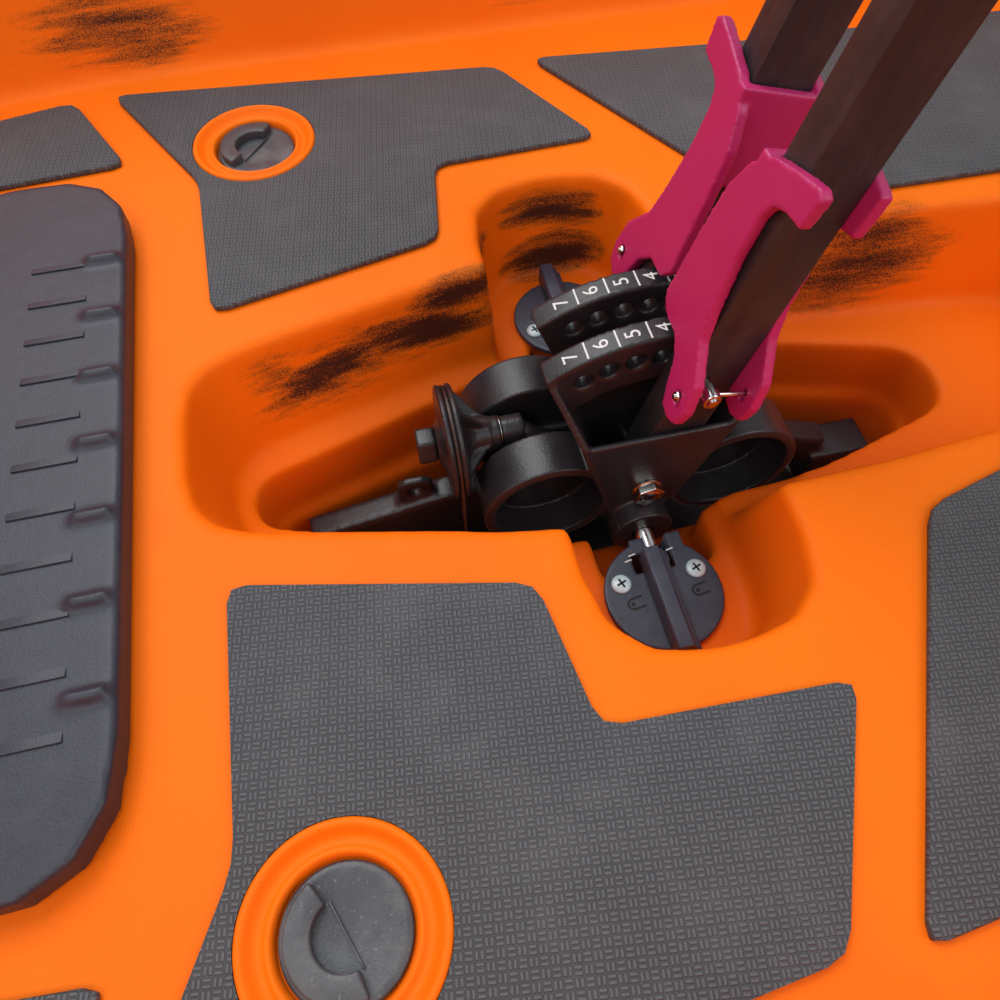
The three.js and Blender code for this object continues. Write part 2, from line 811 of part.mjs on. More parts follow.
function addBowHatch(parent) {
  const seat = plate('z', grown(localHatch, -coamingInset - gap), floorHeight + coamingHeight, lidUnder);
  const seatHole = plate('z', grown(localHatch, -coamingInset - coamingWall + gap),
    floorHeight, lidUnder + overrun);
  add(parent, 'bow_hatch_gasket', 'rubber', carve(seat, [seatHole]));

  const skirt = carve(plate('z', localHatch, lidUnder - lidSkirt, lidUnder + gap), [
    plate('z', grown(localHatch, -lidSkirtWall), lidUnder - lidSkirt - overrun, lidUnder + gap + overrun)]);
  const ribs = [];
  const ribCount = Math.floor(2 * (hatchHalfWidth - hatchCorner) / lidRibSpacing);
  for (let i = 0; i <= ribCount; i++) {
    const y = (i - ribCount / 2) * lidRibSpacing;
    ribs.push(block(hatchAft + lidSkirtWall, hatchAft + coamingInset, y, y + lidRibThick,
      lidTop - gap, lidTop + lidRibHeight));
  }
  const ears = [1, -1].map((side) => {
    const inner = knuckleThick * 3;
    const ear = join([
      rod('y', knuckleRadius, inner, inner + knuckleThick, hatchPinX, hatchPinZ, smallSides),
      block(hatchPinX - lidSkirt * 2, hatchPinX, inner, inner + knuckleThick, lidUnder, lidTop + gap),
    ]);
    return side > 0 ? ear : mirrored(ear);
  });
  const lid = carve(join([plate('z', localHatch, lidUnder, lidTop), skirt, ...ribs, ...ears]), [
    bore('y', hatchPinRadius, -hatchHalfWidth, hatchHalfWidth, hatchPinX, hatchPinZ),
    bore('z', knobStem, lidUnder - overrun, lidTop + overrun, knobX),
  ]);
  add(parent, 'bow_hatch_lid', 'plastic', lid);
  add(parent, 'bow_hatch_hinge_pin', 'metal',
    rod('y', hatchPinRadius, -knuckleThick * 5, knuckleThick * 5, hatchPinX, hatchPinZ, smallSides));

  const camTop = floorHeight - hullWall - gap;
  add(parent, 'bow_hatch_knob', 'plastic', join([
    rod('z', knobRadius, lidTop + gap, lidTop + gap + knobThick, knobX, 0),
    block(knobX - lidRibThick, knobX + lidRibThick, -knobRadius * 0.8, knobRadius * 0.8,
      lidTop + knobThick, lidTop + knobThick * 2),
    rod('z', knobStem, camTop - camThick / 2, lidTop + gap * 2, knobX, 0, smallSides),
    block(knobX - camWidth / 2, knobX + camWidth / 2, -camWidth / 2, camLength, camTop - camThick, camTop),
  ]));
}

// The hull's own lugs that carry the hatch's hinge pin.
function hatchLugs() {
  return [1, -1].map((side) => {
    const inner = knuckleThick * 4 + gap;
    const lug = carve(join([
      rod('y', knuckleRadius, inner, inner + knuckleThick, driveX + hatchPinX, hatchPinZ, smallSides),
      block(driveX + hatchPinX - knuckleRadius, driveX + hatchPinX + knuckleRadius,
        inner, inner + knuckleThick, floorHeight - hullWall / 2, hatchPinZ),
    ]), [bore('y', hatchPinRadius, 0, hatchHalfWidth, driveX + hatchPinX, hatchPinZ)]);
    return side > 0 ? lug : mirrored(lug);
  });
}

// Locks that hold the cross shaft's ends down

function addLocks(parent) {
  const plateTop = bayFloor + lockPlateThick;
  const slotRadius = shaftRadius + gap;
  const noseOuter = lockLeverInner + lockNoseThick;
  const base = carve(join([
    rod('z', lockPlateRadius, bayFloor, plateTop, lockX, lockY, fineSides),
    block(shaftX - lockBlockHalf, shaftX + lockBlockHalf, lockBlockInner, lockY, bayFloor, plateTop),
    block(shaftX - lockBlockHalf, shaftX + lockBlockHalf, lockBlockInner, lockBlockOuter,
      shaftHeight - shaftRadius * 2.5, plateTop),
  ]), [
    block(shaftX - slotRadius, shaftX + slotRadius, lockBlockInner - overrun, noseOuter + slotRadius / 2,
      shaftHeight, plateTop + overrun),
    block(shaftX - slotRadius, shaftX + lockNoseSweep, lockBlockOuter + gap, noseOuter + slotRadius / 2,
      bayFloor - overrun, plateTop + overrun),
    bore('y', shaftRadius, lockBlockInner - overrun, noseOuter, shaftX, shaftHeight),
    bore('z', lockStemRadius, bayFloor - overrun, plateTop + overrun, lockX, lockY),
    ...lockScrewPlaces.map(([x, y]) => rod('z', lockScrewRadius / 2 + gap,
      bayFloor - overrun, plateTop + overrun, x, y, smallSides)),
  ]);
  const leverFloor = plateTop + gap;
  const lever = join([
    block(lockX - lockLeverWidth / 2, lockX + lockLeverWidth / 2, lockLeverInner, lockLeverOuter,
      leverFloor, leverFloor + lockLeverTop),
    block(shaftX - lockNoseHalf, shaftX + lockNoseHalf, lockLeverInner, noseOuter,
      shaftHeight + shaftRadius + gap, leverFloor + gap),
    rod('z', lockStemRadius, bayFloor + gap, leverFloor + gap, lockX, lockY, smallSides),
  ]);
  const screws = lockScrewPlaces.map(([x, y]) => join([
    rod('z', lockScrewRadius, plateTop + gap, plateTop + gap + lockScrewThick, x, y, smallSides),
    rod('z', lockScrewRadius / 2, bayFloor + gap, plateTop + gap * 2, x, y, smallSides),
  ]));
  for (const [side, flip] of [['port', (g) => g], ['starboard', mirrored]]) {
    add(parent, `lock_base_${side}`, 'plastic', flip(base));
    add(parent, `lock_lever_${side}`, 'plastic', flip(lever));
    add(parent, `lock_screw_fore_${side}`, 'metal', flip(screws[0]));
    add(parent, `lock_screw_aft_${side}`, 'metal', flip(screws[1]));
  }
}

// Drive spine, cross shaft and idler

// The beam in plan and the ribs on it in side view, as shares of its length and of its height.
const beamShares = [[1, 0.3], [0.49, 1], [-0.55, 1], [-1, 0.35]];
const foreWebShares = [[0.3, 0], [1, 0], [1, 0.7], [0.71, 0.86], [0.53, 0.97], [0.3, 0.97]];
const foreTabShares = [[0.56, 0.8], [0.68, 0.8], [0.68, 1.14], [0.65, 1.19], [0.59, 1.19], [0.56, 1.14]];
const aftArmShares = [
  [-0.12, 0.74], [-0.48, 0.72], [-0.82, 0.2], [-0.82, 0.62], [-0.68, 0.8], [-0.48, 1.08], [-0.12, 1.15],
];

function addSpine(parent) {
  const low = spineTop - gap;
  const beam = plate('z', bothSides(beamShares.map(([along, out]) =>
    [along * (along > 0 ? spineFore : spineAft), out * spineHalfWidth])), spineBottom, spineTop);
  const rib = (outline, half, holes = []) => plate('y', outline, -half, half, holes);
  const tower = rib([
    [shaftX - towerHalfLength * 1.5, low], [idlerAft, low],
    [idlerAft, idlerHeight - idlerStubRadius], [idlerAft - idlerStubLength, idlerHeight],
    [shaftX + towerHalfLength, shaftHeight + towerHalfLength / 2],
    [shaftX + towerHalfLength / 2, shaftHeight + towerHalfLength],
    [shaftX - towerHalfLength / 2, shaftHeight + towerHalfLength],
    [shaftX - towerHalfLength, shaftHeight + towerHalfLength / 2],
  ], towerHalfWidth);
  const foreWeb = rib(foreWebShares.map(([along, up]) =>
    [along * spineFore, low + up * (shaftHeight - low)]), towerHalfWidth);
  const tabX = spineFore * 0.62;
  const tab = rib(foreTabShares.map(([along, up]) =>
    [along * spineFore, low + up * (shaftHeight - low)]), tabHalfWidth,
  [circle(tabX, shaftHeight + tabHoleRadius / 2, tabHoleRadius, smallSides)]);
  const aftArm = rib(aftArmShares.map(([along, up]) =>
    [along * spineAft, low + up * (shaftHeight - low)]), towerHalfWidth);
  const aftBlock = block(-spineAft, aftBlockLength - spineAft, -aftBlockHalf, aftBlockHalf,
    low, aftBlockTop);
  const stub = rod('x', idlerStubRadius, idlerAft - idlerStubLength, idlerAft, 0, idlerHeight, smallSides);
  const lugs = [frontMastX, rearMastX].flatMap((mastX) => [1, -1].flatMap((end) => {
    const inner = mastX + end * (finBarrelLength / 2 + gap);
    const outer = inner + end * lugThick;
    const [from, to] = end > 0 ? [inner, outer] : [outer, inner];
    return [
      rod('x', finBarrelRadius, from, to, 0, finAxisHeight, smallSides),
      block(from, to, -finBarrelRadius, finBarrelRadius, finAxisHeight, spineBottom + gap),
    ];
  }));
  const bores = [
    bore('y', shaftRadius, -overrun, overrun, shaftX, shaftHeight),
    bore('x', idlerBoltRadius, idlerAft - idlerStubLength * 2, idlerAft + overrun, 0, idlerHeight),
  ];
  const pinReachX = finBarrelLength / 2 + gap + lugThick;
  const pins = [frontMastX, rearMastX].map((mastX) =>
    rod('x', finPinRadius, mastX - pinReachX, mastX + pinReachX, 0, finAxisHeight, smallSides));
  add(parent, 'drive_spine', 'plastic', carve(join([
    beam, tower, foreWeb, tab, aftArm, aftBlock, stub, ...lugs, ...pins,
  ]), bores));
  add(parent, 'drive_shaft', 'metal',
    rod('y', shaftRadius, -shaftHalfLength, shaftHalfLength, shaftX, shaftHeight, smallSides));
}

function addIdler(parent) {
  const half = idlerFlangeHalf;
  const idlerBore = clearRadius(idlerBoltRadius + gap, fineSides);
  const profile = [
    [idlerBore, idlerAft + gap], [idlerHubRadius, idlerAft + gap],
    [idlerHubRadius, idlerFlangeX - half], [idlerRadius, idlerFlangeX - half],
    [idlerRadius - idlerGroove, idlerFlangeX], [idlerRadius, idlerFlangeX + half],
    [idlerHubRadius, idlerFlangeX + half], [idlerHubRadius, idlerFlangeX + half * 2],
    [idlerBore, idlerFlangeX + half * 2], [idlerBore, idlerAft + gap],
  ].map(([radius, x]) => new THREE.Vector2(radius, x));
  const wheel = new THREE.LatheGeometry(profile, fineSides);
  wheel.rotateZ(-Math.PI / 2);
  wheel.translate(0, 0, idlerHeight);
  const webOutline = [1, -1].map((up) => [
    [idlerAft + half * 2, idlerHeight + up * (idlerHubRadius - gap)],
    [idlerFlangeX - half + gap, idlerHeight + up * (idlerHubRadius - gap)],
    [idlerFlangeX - half + gap, idlerHeight + up * idlerRadius * 0.85],
    [idlerFlangeX - half * 2, idlerHeight + up * idlerRadius * 0.8],
  ]);
  const upright = webOutline.map((outline, i) =>
    plate('y', i ? outline.slice().reverse() : outline.slice(), -idlerWebThick / 2, idlerWebThick / 2));
  const level = upright.map((web) => web.clone().translate(0, 0, -idlerHeight)
    .rotateX(Math.PI / 2).translate(0, 0, idlerHeight));
  add(parent, 'idler_pulley', 'plastic', join([wheel, ...upright, ...level]));

  const nutFrom = idlerFlangeX + half * 2 + gap;
  add(parent, 'idler_bolt', 'plastic', join([
    rod('x', idlerBoltRadius, idlerAft - idlerStubLength, nutFrom + idlerNutThick + gap, 0, idlerHeight,
      smallSides),
    rod('x', idlerNutRadius, nutFrom, nutFrom + idlerNutThick, 0, idlerHeight, 6),
  ]));

  const wrap = idlerRadius - idlerGroove + gap * 4 + cableRadius;
  const foot = spineTop + gap;
  const arc = Array.from({ length: arcSteps + 1 }, (_, i) => {
    const angle = Math.PI * i / arcSteps;
    return [idlerFlangeX, wrap * Math.cos(angle), idlerHeight + wrap * Math.sin(angle)];
  });
  const runs = [0.15, 0.5, 0.85].map((share) => foot + (idlerHeight - foot) * share);
  const route = [
    [idlerFlangeX, wrap, foot], ...runs.map((z) => [idlerFlangeX, wrap, z]), ...arc,
    ...runs.slice().reverse().map((z) => [idlerFlangeX, -wrap, z]), [idlerFlangeX, -wrap, foot],
  ];
  add(parent, 'idler_cable', 'metal', tube(route, cableRadius, cableSteps, 6));
}

// Crank brackets

function bracketOutline() {
  const arc = Array.from({ length: arcSteps + 1 }, (_, i) => {
    const angle = (quadrantHalfAngle - 2 * quadrantHalfAngle * i / arcSteps) * degrees;
    return [armPivotX + quadrantRadius * Math.sin(angle), armPivotRise + quadrantRadius * Math.cos(angle)];
  });
  const corner = (x, rise) => [armPivotX + x, armPivotRise + rise];
  return [
    corner(-pocketFootHalfWidth, -pocketFootDrop), corner(pocketFootHalfWidth, -pocketFootDrop),
    corner(pocketTopHalfWidth, pocketTopRise), ...arc, corner(-pocketTopHalfWidth, pocketTopRise),
  ];
}

function makeBracket() {
  const outline = bracketOutline();
  const inner = grown(outline, -pocketWall);
  const backWall = quadrantInner + pocketWall;
  const outside = frontWallOuter + overrun;
  const mouth = armPivotRise + pocketTopRise;
  const high = armPivotRise + quadrantRadius + overrun;
  const corner = armPivotRise + quadrantRadius * Math.cos(quadrantHalfAngle * degrees);
  const bandInner = quadrantRadius - quadrantBand;
  const aboveMouth = solidOf(block(-wellAft, wellFore, 0, outside, mouth, high));
  const deep = solidOf(rod('y', bandInner, 0, outside, armPivotX, armPivotRise));
  const pocket = solidOf(plate('y', inner, backWall, frontWallInner)).intersect(deep);
  const openPocket = solidOf(plate('y', inner, backWall, outside)).intersect(deep).intersect(aboveMouth);
  const openRim = solidOf(plate('y', inner, quadrantOuter, outside)).intersect(aboveMouth);
  const slope = solidOf(plate('x', [
    [quadrantOuter, corner], [frontWallOuter, mouth], [outside, mouth], [outside, high],
    [quadrantOuter, high],
  ], -wellAft, wellFore));
  const lobes = [lobeForeX, lobeAftX].map((x) => solidOf(
    rod('y', lobeRadius, backWall - gap, lobeOuter, x, lobeRise, fineSides)).subtract(solidOf(
    rod('y', lobeRadius - lobeWall, backWall + lobeFloorThick, outside, x, lobeRise, fineSides))));
  const web = solidOf(block(lobeAftX, lobeForeX, quadrantInner, backWall, 0, lobeRise * 1.2));
  const hub = solidOf(join([
    rod('y', shaftRadius * 2, quadrantInner, frontWallOuter, 0, 0),
    rod('y', hubRadius, frontWallInner, hubOuter, 0, 0, fineSides),
  ]));
  let body = solidOf(plate('y', outline, quadrantInner, frontWallOuter)).subtract(slope);
  body = body.add(lobes[0]).add(lobes[1]).add(web);
  body = body.subtract(pocket).subtract(openPocket).subtract(openRim).add(hub);
  body = body.subtract(solidOf(bore('y', shaftRadius, 0, outside)));
  body = body.subtract(solidOf(bore('y', boltRadius, 0, outside, armPivotX, armPivotRise)));
  const reach = Math.hypot(pinReach, pinOffset);
  const first = armLean * degrees + Math.atan2(pinOffset, pinReach);
  for (let i = -holesToStern; i <= holesToBow; i++) {
    const angle = first + i * holeStep * degrees;
    body = body.subtract(solidOf(rod('y', holeRadius, 0, quadrantOuter + gap,
      armPivotX + reach * Math.sin(angle), armPivotRise + reach * Math.cos(angle), smallSides)));
  }
  return geometryOf(body);
}

// Everything below is drawn from the arm's pivot: X across the arm, Z up along it.

function makeArm() {
  const half = armWidth / 2;
  const inner = quadrantOuter + gap;
  const outer = inner + armThick;
  const foot = Array.from({ length: footSteps + 1 }, (_, i) => {
    const angle = Math.PI * (1 + i / footSteps);
    return [half * Math.cos(angle), half * Math.sin(angle)];
  });
  const top = [[half, armLength - half / 2], [half / 2, armLength], [-half / 2, armLength],
    [-half, armLength - half / 2]];
  const hole = (radius, x, z) => bore('y', radius, 0, outer + overrun, x, z);
  const nubDepth = leverNubRadius;
  return carve(plate('y', [...foot, ...top], inner, outer), [
    hole(boltRadius, 0, 0),
    hole(pinRadius, pinOffset, pinReach),
    hole(pedalSpindleRadius, 0, pedalSpindleReach),
    bore('x', leverNubRadius, half - nubDepth - gap, half + overrun, leverPivotY, leverPivotReach),
    bore('x', leverNubRadius, -half - overrun, -half + nubDepth + gap, leverPivotY, leverPivotReach),
  ]);
}

// Outlines of the adjusting lever's two cheeks as shares: outboard, then up along the arm.
const bowCheekShares = [
  [0.82, 0], [0.96, 0.03], [1, 0.105], [0.946, 0.218], [0.7, 0.346], [0.636, 0.459], [0.571, 0.647],
  [0.571, 0.79], [0.625, 0.846], [0.786, 0.876], [0.964, 0.88], [1, 0.985], [0.93, 1], [0.7, 0.977],
  [0.393, 0.94], [0.196, 0.868], [0.08, 0.759], [0.036, 0.579], [0.018, 0.429], [0, 0.3],
  [0.107, 0.248], [0.357, 0.244], [0.518, 0.18], [0.607, 0.075], [0.68, 0.015],
];
const sternCheekShares = [
  [0.82, 0], [0.96, 0.03], [1, 0.105], [0.946, 0.218], [0.7, 0.346], [0.607, 0.459], [0.571, 0.647],
  [0.571, 0.782], [0.804, 0.8], [0.82, 0.947], [0.571, 0.97], [0.268, 0.94], [0.268, 0.586],
  [0.4, 0.46], [0.4, 0.27], [0.518, 0.18], [0.607, 0.075], [0.68, 0.015],
];

function makeLever() {
  const place = ([out, up]) => [
    leverInnerY + out * (leverOuterY - leverInnerY),
    leverFootReach + up * (leverReach - leverFootReach),
  ];
  const face = armWidth / 2 + gap * 2;
  const outer = face + leverPlate;
  const webOuter = quadrantOuter - gap;
  const webLow = leverFootReach + (leverReach - leverFootReach) * 0.59;
  const webHigh = leverFootReach + (leverReach - leverFootReach) * 0.93;
  const slot = crossPinRadius + gap;
  return carve(join([
    plate('x', bowCheekShares.map(place), face, outer),
    plate('x', sternCheekShares.map(place), -outer, -face),
    block(-outer, outer, webOuter - leverWebThick, webOuter, webLow, webHigh),
    rod('x', leverNubRadius, face - leverNubRadius, face + gap, leverPivotY, leverPivotReach, smallSides),
    rod('x', leverNubRadius, -face - gap, -face + leverNubRadius, leverPivotY, leverPivotReach, smallSides),
  ]), [
    block(-outer - overrun, outer + overrun, crossPinY - slot, crossPinY + slot,
      pinReach - leverSlotHalf, pinReach + leverSlotHalf / 2),
  ]);
}

function makePullPin() {
  return join([
    rod('y', pinRadius, quadrantOuter + gap, pinHeadY, pinOffset, pinReach, smallSides),
    rod('x', crossPinRadius, -crossPinHalfLength, crossPinHalfLength, crossPinY, pinReach, 8),
  ]);
}

function makePedal() {
  const half = pedalThick / 2;
  const low = -pedalLength * 0.56;
  const high = pedalLength * 0.44;
  const outer = pedalInner + pedalWidth;
  const sole = plate('x', rounded([
    [pedalInner, low, pedalRim * 2], [outer, low, pedalRim * 2],
    [outer, high, pedalRim * 3], [pedalInner, high, pedalRim * 3],
  ], 2), -half, half);
  const rims = [
    block(-half - pedalRimHeight, half, pedalInner, pedalInner + pedalRim, low + pedalRim * 2, 0),
    block(-half - pedalRimHeight, half, outer - pedalRim, outer, low + pedalRim * 2, 0),
    block(-half - pedalRimHeight * 2, half, pedalInner + pedalRim * 2, outer - pedalRim * 2,
      low, low + pedalRim),
  ];
  const ribs = Array.from({ length: pedalRibs }, (_, i) => {
    const z = low + pedalRim * 3 + (high - low - pedalRim * 6) * i / (pedalRibs - 1);
    return block(-half - pedalRibHeight, half, pedalInner + pedalRim * 1.5, outer - pedalRim * 1.5,
      z - pedalRibHeight, z + pedalRibHeight);
  });
  const armOuter = quadrantOuter + gap + armThick;
  const spindle = rod('y', pedalSpindleRadius, quadrantOuter + gap, outer - pedalRim, 0, 0, smallSides);
  const boss = rod('y', pedalBossRadius, armOuter + gap, pedalInner + pedalRim, 0, 0);
  return join([sole, ...rims, ...ribs, spindle, boss]);
}

function addCranks(parent) {
  const bracket = makeBracket();
  const boltFrom = frontWallOuter + gap;
  const bolt = join([
    rod('y', boltRadius, quadrantInner, boltFrom + gap, 0, 0, smallSides),
    rod('y', boltHeadRadius, boltFrom, boltFrom + boltHeadThick, 0, 0, 6),
  ]);
  const pieces = [
    ['crank_arm', 'arm', makeArm()],
    ['adjust_lever', 'lever', makeLever()],
    ['pull_pin', 'metal', makePullPin()],
  ];
  const pedal = makePedal();
  const sides = [['port', portCrankTurn, (g) => g], ['starboard', starboardCrankTurn, mirrored]];
  for (const [side, turn, flip] of sides) {
    const crank = groupAt(parent, shaftX, 0, shaftHeight, turn);
    add(crank, `crank_bracket_${side}`, 'plastic', flip(bracket));
    const arm = groupAt(crank, armPivotX, 0, armPivotRise, armLean);
    add(arm, `arm_pivot_bolt_${side}`, 'metal', flip(bolt));
    for (const [name, finish, geometry] of pieces) add(arm, `${name}_${side}`, finish, flip(geometry));
    const foot = groupAt(arm, 0, 0, pedalSpindleReach, -armLean - turn + pedalTilt);
    add(foot, `pedal_${side}`, 'plastic', flip(pedal));
  }
}

// Fins

const finChordShares = [0.72, 0.93, 1, 0.95, 0.78, 0.45];
const finForeShares = [0.07, 0.08, 0.08, 0.07, 0.06, 0.05];

function makeFin() {
  const rings = finChordShares.map((share, i) => {
    const z = -finRoot - finLength * i / (finChordShares.length - 1);
    const fore = finChord * finForeShares[i];
    const aft = fore - finChord * share;
    const half = finThick / 2;
    const edge = finEdge / 2;
    return [[fore, -edge], [fore, edge], [mastRadius, half], [-mastRadius, half],
      [aft * 0.6, edge * 2.4], [aft, edge], [aft, -edge], [aft * 0.6, -edge * 2.4],
      [-mastRadius, -half], [mastRadius, -half]].map(([x, y]) => [x, y, z]);
  });
  return carve(loft(rings, (p) => [p[0], p[1]]), [
    rod('z', mastRadius + gap, -mastLength, 0, 0, 0, smallSides)]);
}

function addFins(parent) {
  const mast = carve(join([
    rod('x', finBarrelRadius, -finBarrelLength / 2, finBarrelLength / 2, 0, 0, roundSides),
    rod('z', mastRadius, -mastLength, -finPinRadius * 1.5, 0, 0, smallSides),
  ]), [bore('x', finPinRadius, -finBarrelLength, finBarrelLength)]);
  const fin = makeFin();
  const middle = (portCrankTurn - starboardCrankTurn) / 2 * finRatio;
  for (const [name, x, turn] of [['front', frontMastX, middle], ['rear', rearMastX, -middle]]) {
    const swing = groupAt(parent, x, 0, finAxisHeight);
    swing.rotation.x = turn * degrees;
    add(swing, `fin_mast_${name}`, 'metal', mast.clone());
    add(swing, `fin_${name}`, 'fin', fin.clone());
  }
}

// Rear hatch in the floor of the cargo well

function addRearHatch(parent) {
  const rim = cargoFloor + gap;
  const grip = rearHatchNeck / 2;
  add(parent, 'rear_hatch_lid', 'plastic', join([
    rod('z', rearHatchRadius, rim, rim + rearHatchThick, rearHatchX),
    rod('z', rearHatchNeck - gap, rim - rearHatchPlug, rim + gap, rearHatchX),
    block(rearHatchX - grip, rearHatchX + grip, -rearHatchThick, rearHatchThick,
      rim, rim + rearHatchThick * 2),
  ]));
}

// Seat

// A crowned cushion lying along X from zero, with channels across it and drawn-in sides.
function makeCushion(length, halfWidth, thick) {
  const rings = Array.from({ length: cushionStations + 1 }, (_, i) => {
    const along = i / cushionStations;
    const end = Math.abs(2 * along - 1);
    const fill = Math.sqrt(1 - (end * 0.985) ** 8);
    const channel = Math.abs(Math.sin(Math.PI * cushionChannels * along)) ** 0.5;
    const high = thick * (0.5 + fill * (0.5 - channelDepthShare * (1 - channel)));
    const wide = halfWidth * (0.95 + 0.05 * fill);
    const top = Array.from({ length: cushionPoints + 1 }, (_, j) => {
      const across = Math.cos(Math.PI * j / cushionPoints);
      const crown = Math.sqrt(1 - (across * 0.99) ** 6);
      return [wide * across, thick * 0.45 + (high - thick * 0.45) * crown];
    });
    const foot = thick * 0.3 * (1 - fill);
    const ring = [...top, [-wide * 0.95, foot], [0, foot], [wide * 0.95, foot]];
    return ring.map(([y, z]) => [length * along, y, z]);
  });
  return loft(rings, (p) => [p[1], p[2]]);
}

function addSeat(parent) {
  const radius = seatTubeRadius;
  const foot = floorHeight + radius * 0.8;
  const rear = seatFore - seatDepth;
  const hingeX = rear + seatHingeInset;
  const side = (y) => tube(rounded([
    [seatFore - seatFootInset, foot, radius * 2], [rear + seatFootInset * 2, foot, radius * 2],
    [rear, seatRailHeight, radius * 2], [seatFore, seatRailHeight, radius * 2],
  ], 2).map(([x, z]) => [x, y, z]), radius, seatTubeSteps, tubeSides, true);
  const cross = [seatFore - radius, hingeX].map((x) =>
    rod('y', radius - gap, -seatHalfWidth, seatHalfWidth, x, seatRailHeight, smallSides));
  const lug = (y0, y1) => plate('y', [
    [hingeX - seatBossRadius, seatRailHeight], [hingeX + seatBossRadius, seatRailHeight],
    ...Array.from({ length: arcSteps / 2 + 1 }, (_, i) => [
      hingeX + seatBossRadius * Math.cos(Math.PI * i / (arcSteps / 2)),
      seatHingeHeight + seatBossRadius * Math.sin(Math.PI * i / (arcSteps / 2)),
    ]),
  ], y0, y1);
  const lugOuter = seatLugInner + seatLugThick;
  const bolt = (y0, y1) => rod('y', seatBoltRadius, y0, y1, hingeX, seatHingeHeight, smallSides);
  const panHigh = seatRailHeight + radius;
  const panAft = hingeX + seatBossRadius * 2;
  const below = block(rear - overrun, seatFore + overrun, -seatHalfWidth * 2, seatHalfWidth * 2,
    0, floorHeight);
  add(parent, 'seat_frame', 'arm', carve(join([
    side(seatHalfWidth), side(-seatHalfWidth), ...cross,
    lug(seatLugInner, lugOuter), lug(-lugOuter, -seatLugInner),
    bolt(seatBossInner, lugOuter), bolt(-lugOuter, -seatBossInner),
    block(panAft, seatFore - radius, -seatHalfWidth, seatHalfWidth, panHigh - seatPanThick, panHigh),
  ]), [below]));
  const cushion = makeCushion(seatFore - radius - panAft, seatCushionHalfWidth, seatCushionThick);
  add(parent, 'seat_cushion', 'cushion', cushion.translate(panAft, 0, panHigh + gap));

  const back = groupAt(parent, hingeX, 0, seatHingeHeight, seatBackLean);
  const bossMiddle = (seatBossInner + seatLugInner) / 2;
  const hoop = tube([
    [0, bossMiddle, 0], [0, bossMiddle, seatBackHeight * 0.45], [0, bossMiddle, seatBackHeight * 0.85],
    [0, bossMiddle * 0.9, seatBackHeight], [0, 0, seatBackHeight + radius],
    [0, -bossMiddle * 0.9, seatBackHeight], [0, -bossMiddle, seatBackHeight * 0.85],
    [0, -bossMiddle, seatBackHeight * 0.45], [0, -bossMiddle, 0],
  ], radius - gap * 2, seatTubeSteps, tubeSides);
  const bosses = [1, -1].map((y) => rod('y', seatBossRadius,
    Math.min(y * seatBossInner, y * (seatLugInner - gap)),
    Math.max(y * seatBossInner, y * (seatLugInner - gap)), 0, 0));
  const front = radius - gap * 2;
  const panel = block(front - seatPanThick, front, -bossMiddle, bossMiddle,
    seatBackFoot, seatBackHeight - radius);
  add(back, 'seat_back_frame', 'arm', carve(join([hoop, ...bosses, panel]), [
    bore('y', seatBoltRadius, -seatLugInner, seatLugInner)]));
  const backLength = seatBackHeight - seatBackFoot - radius * 2;
  const backPad = makeCushion(backLength, seatCushionHalfWidth, seatBackThick);
  backPad.applyMatrix4(new THREE.Matrix4().makeBasis(
    new THREE.Vector3(0, 0, 1), new THREE.Vector3(0, -1, 0), new THREE.Vector3(1, 0, 0)));
  add(back, 'seat_back_cushion', 'cushion', backPad.translate(front + gap, 0, seatBackFoot + gap));
}

// Rudder on the stern, and its steering handle on the port gunwale

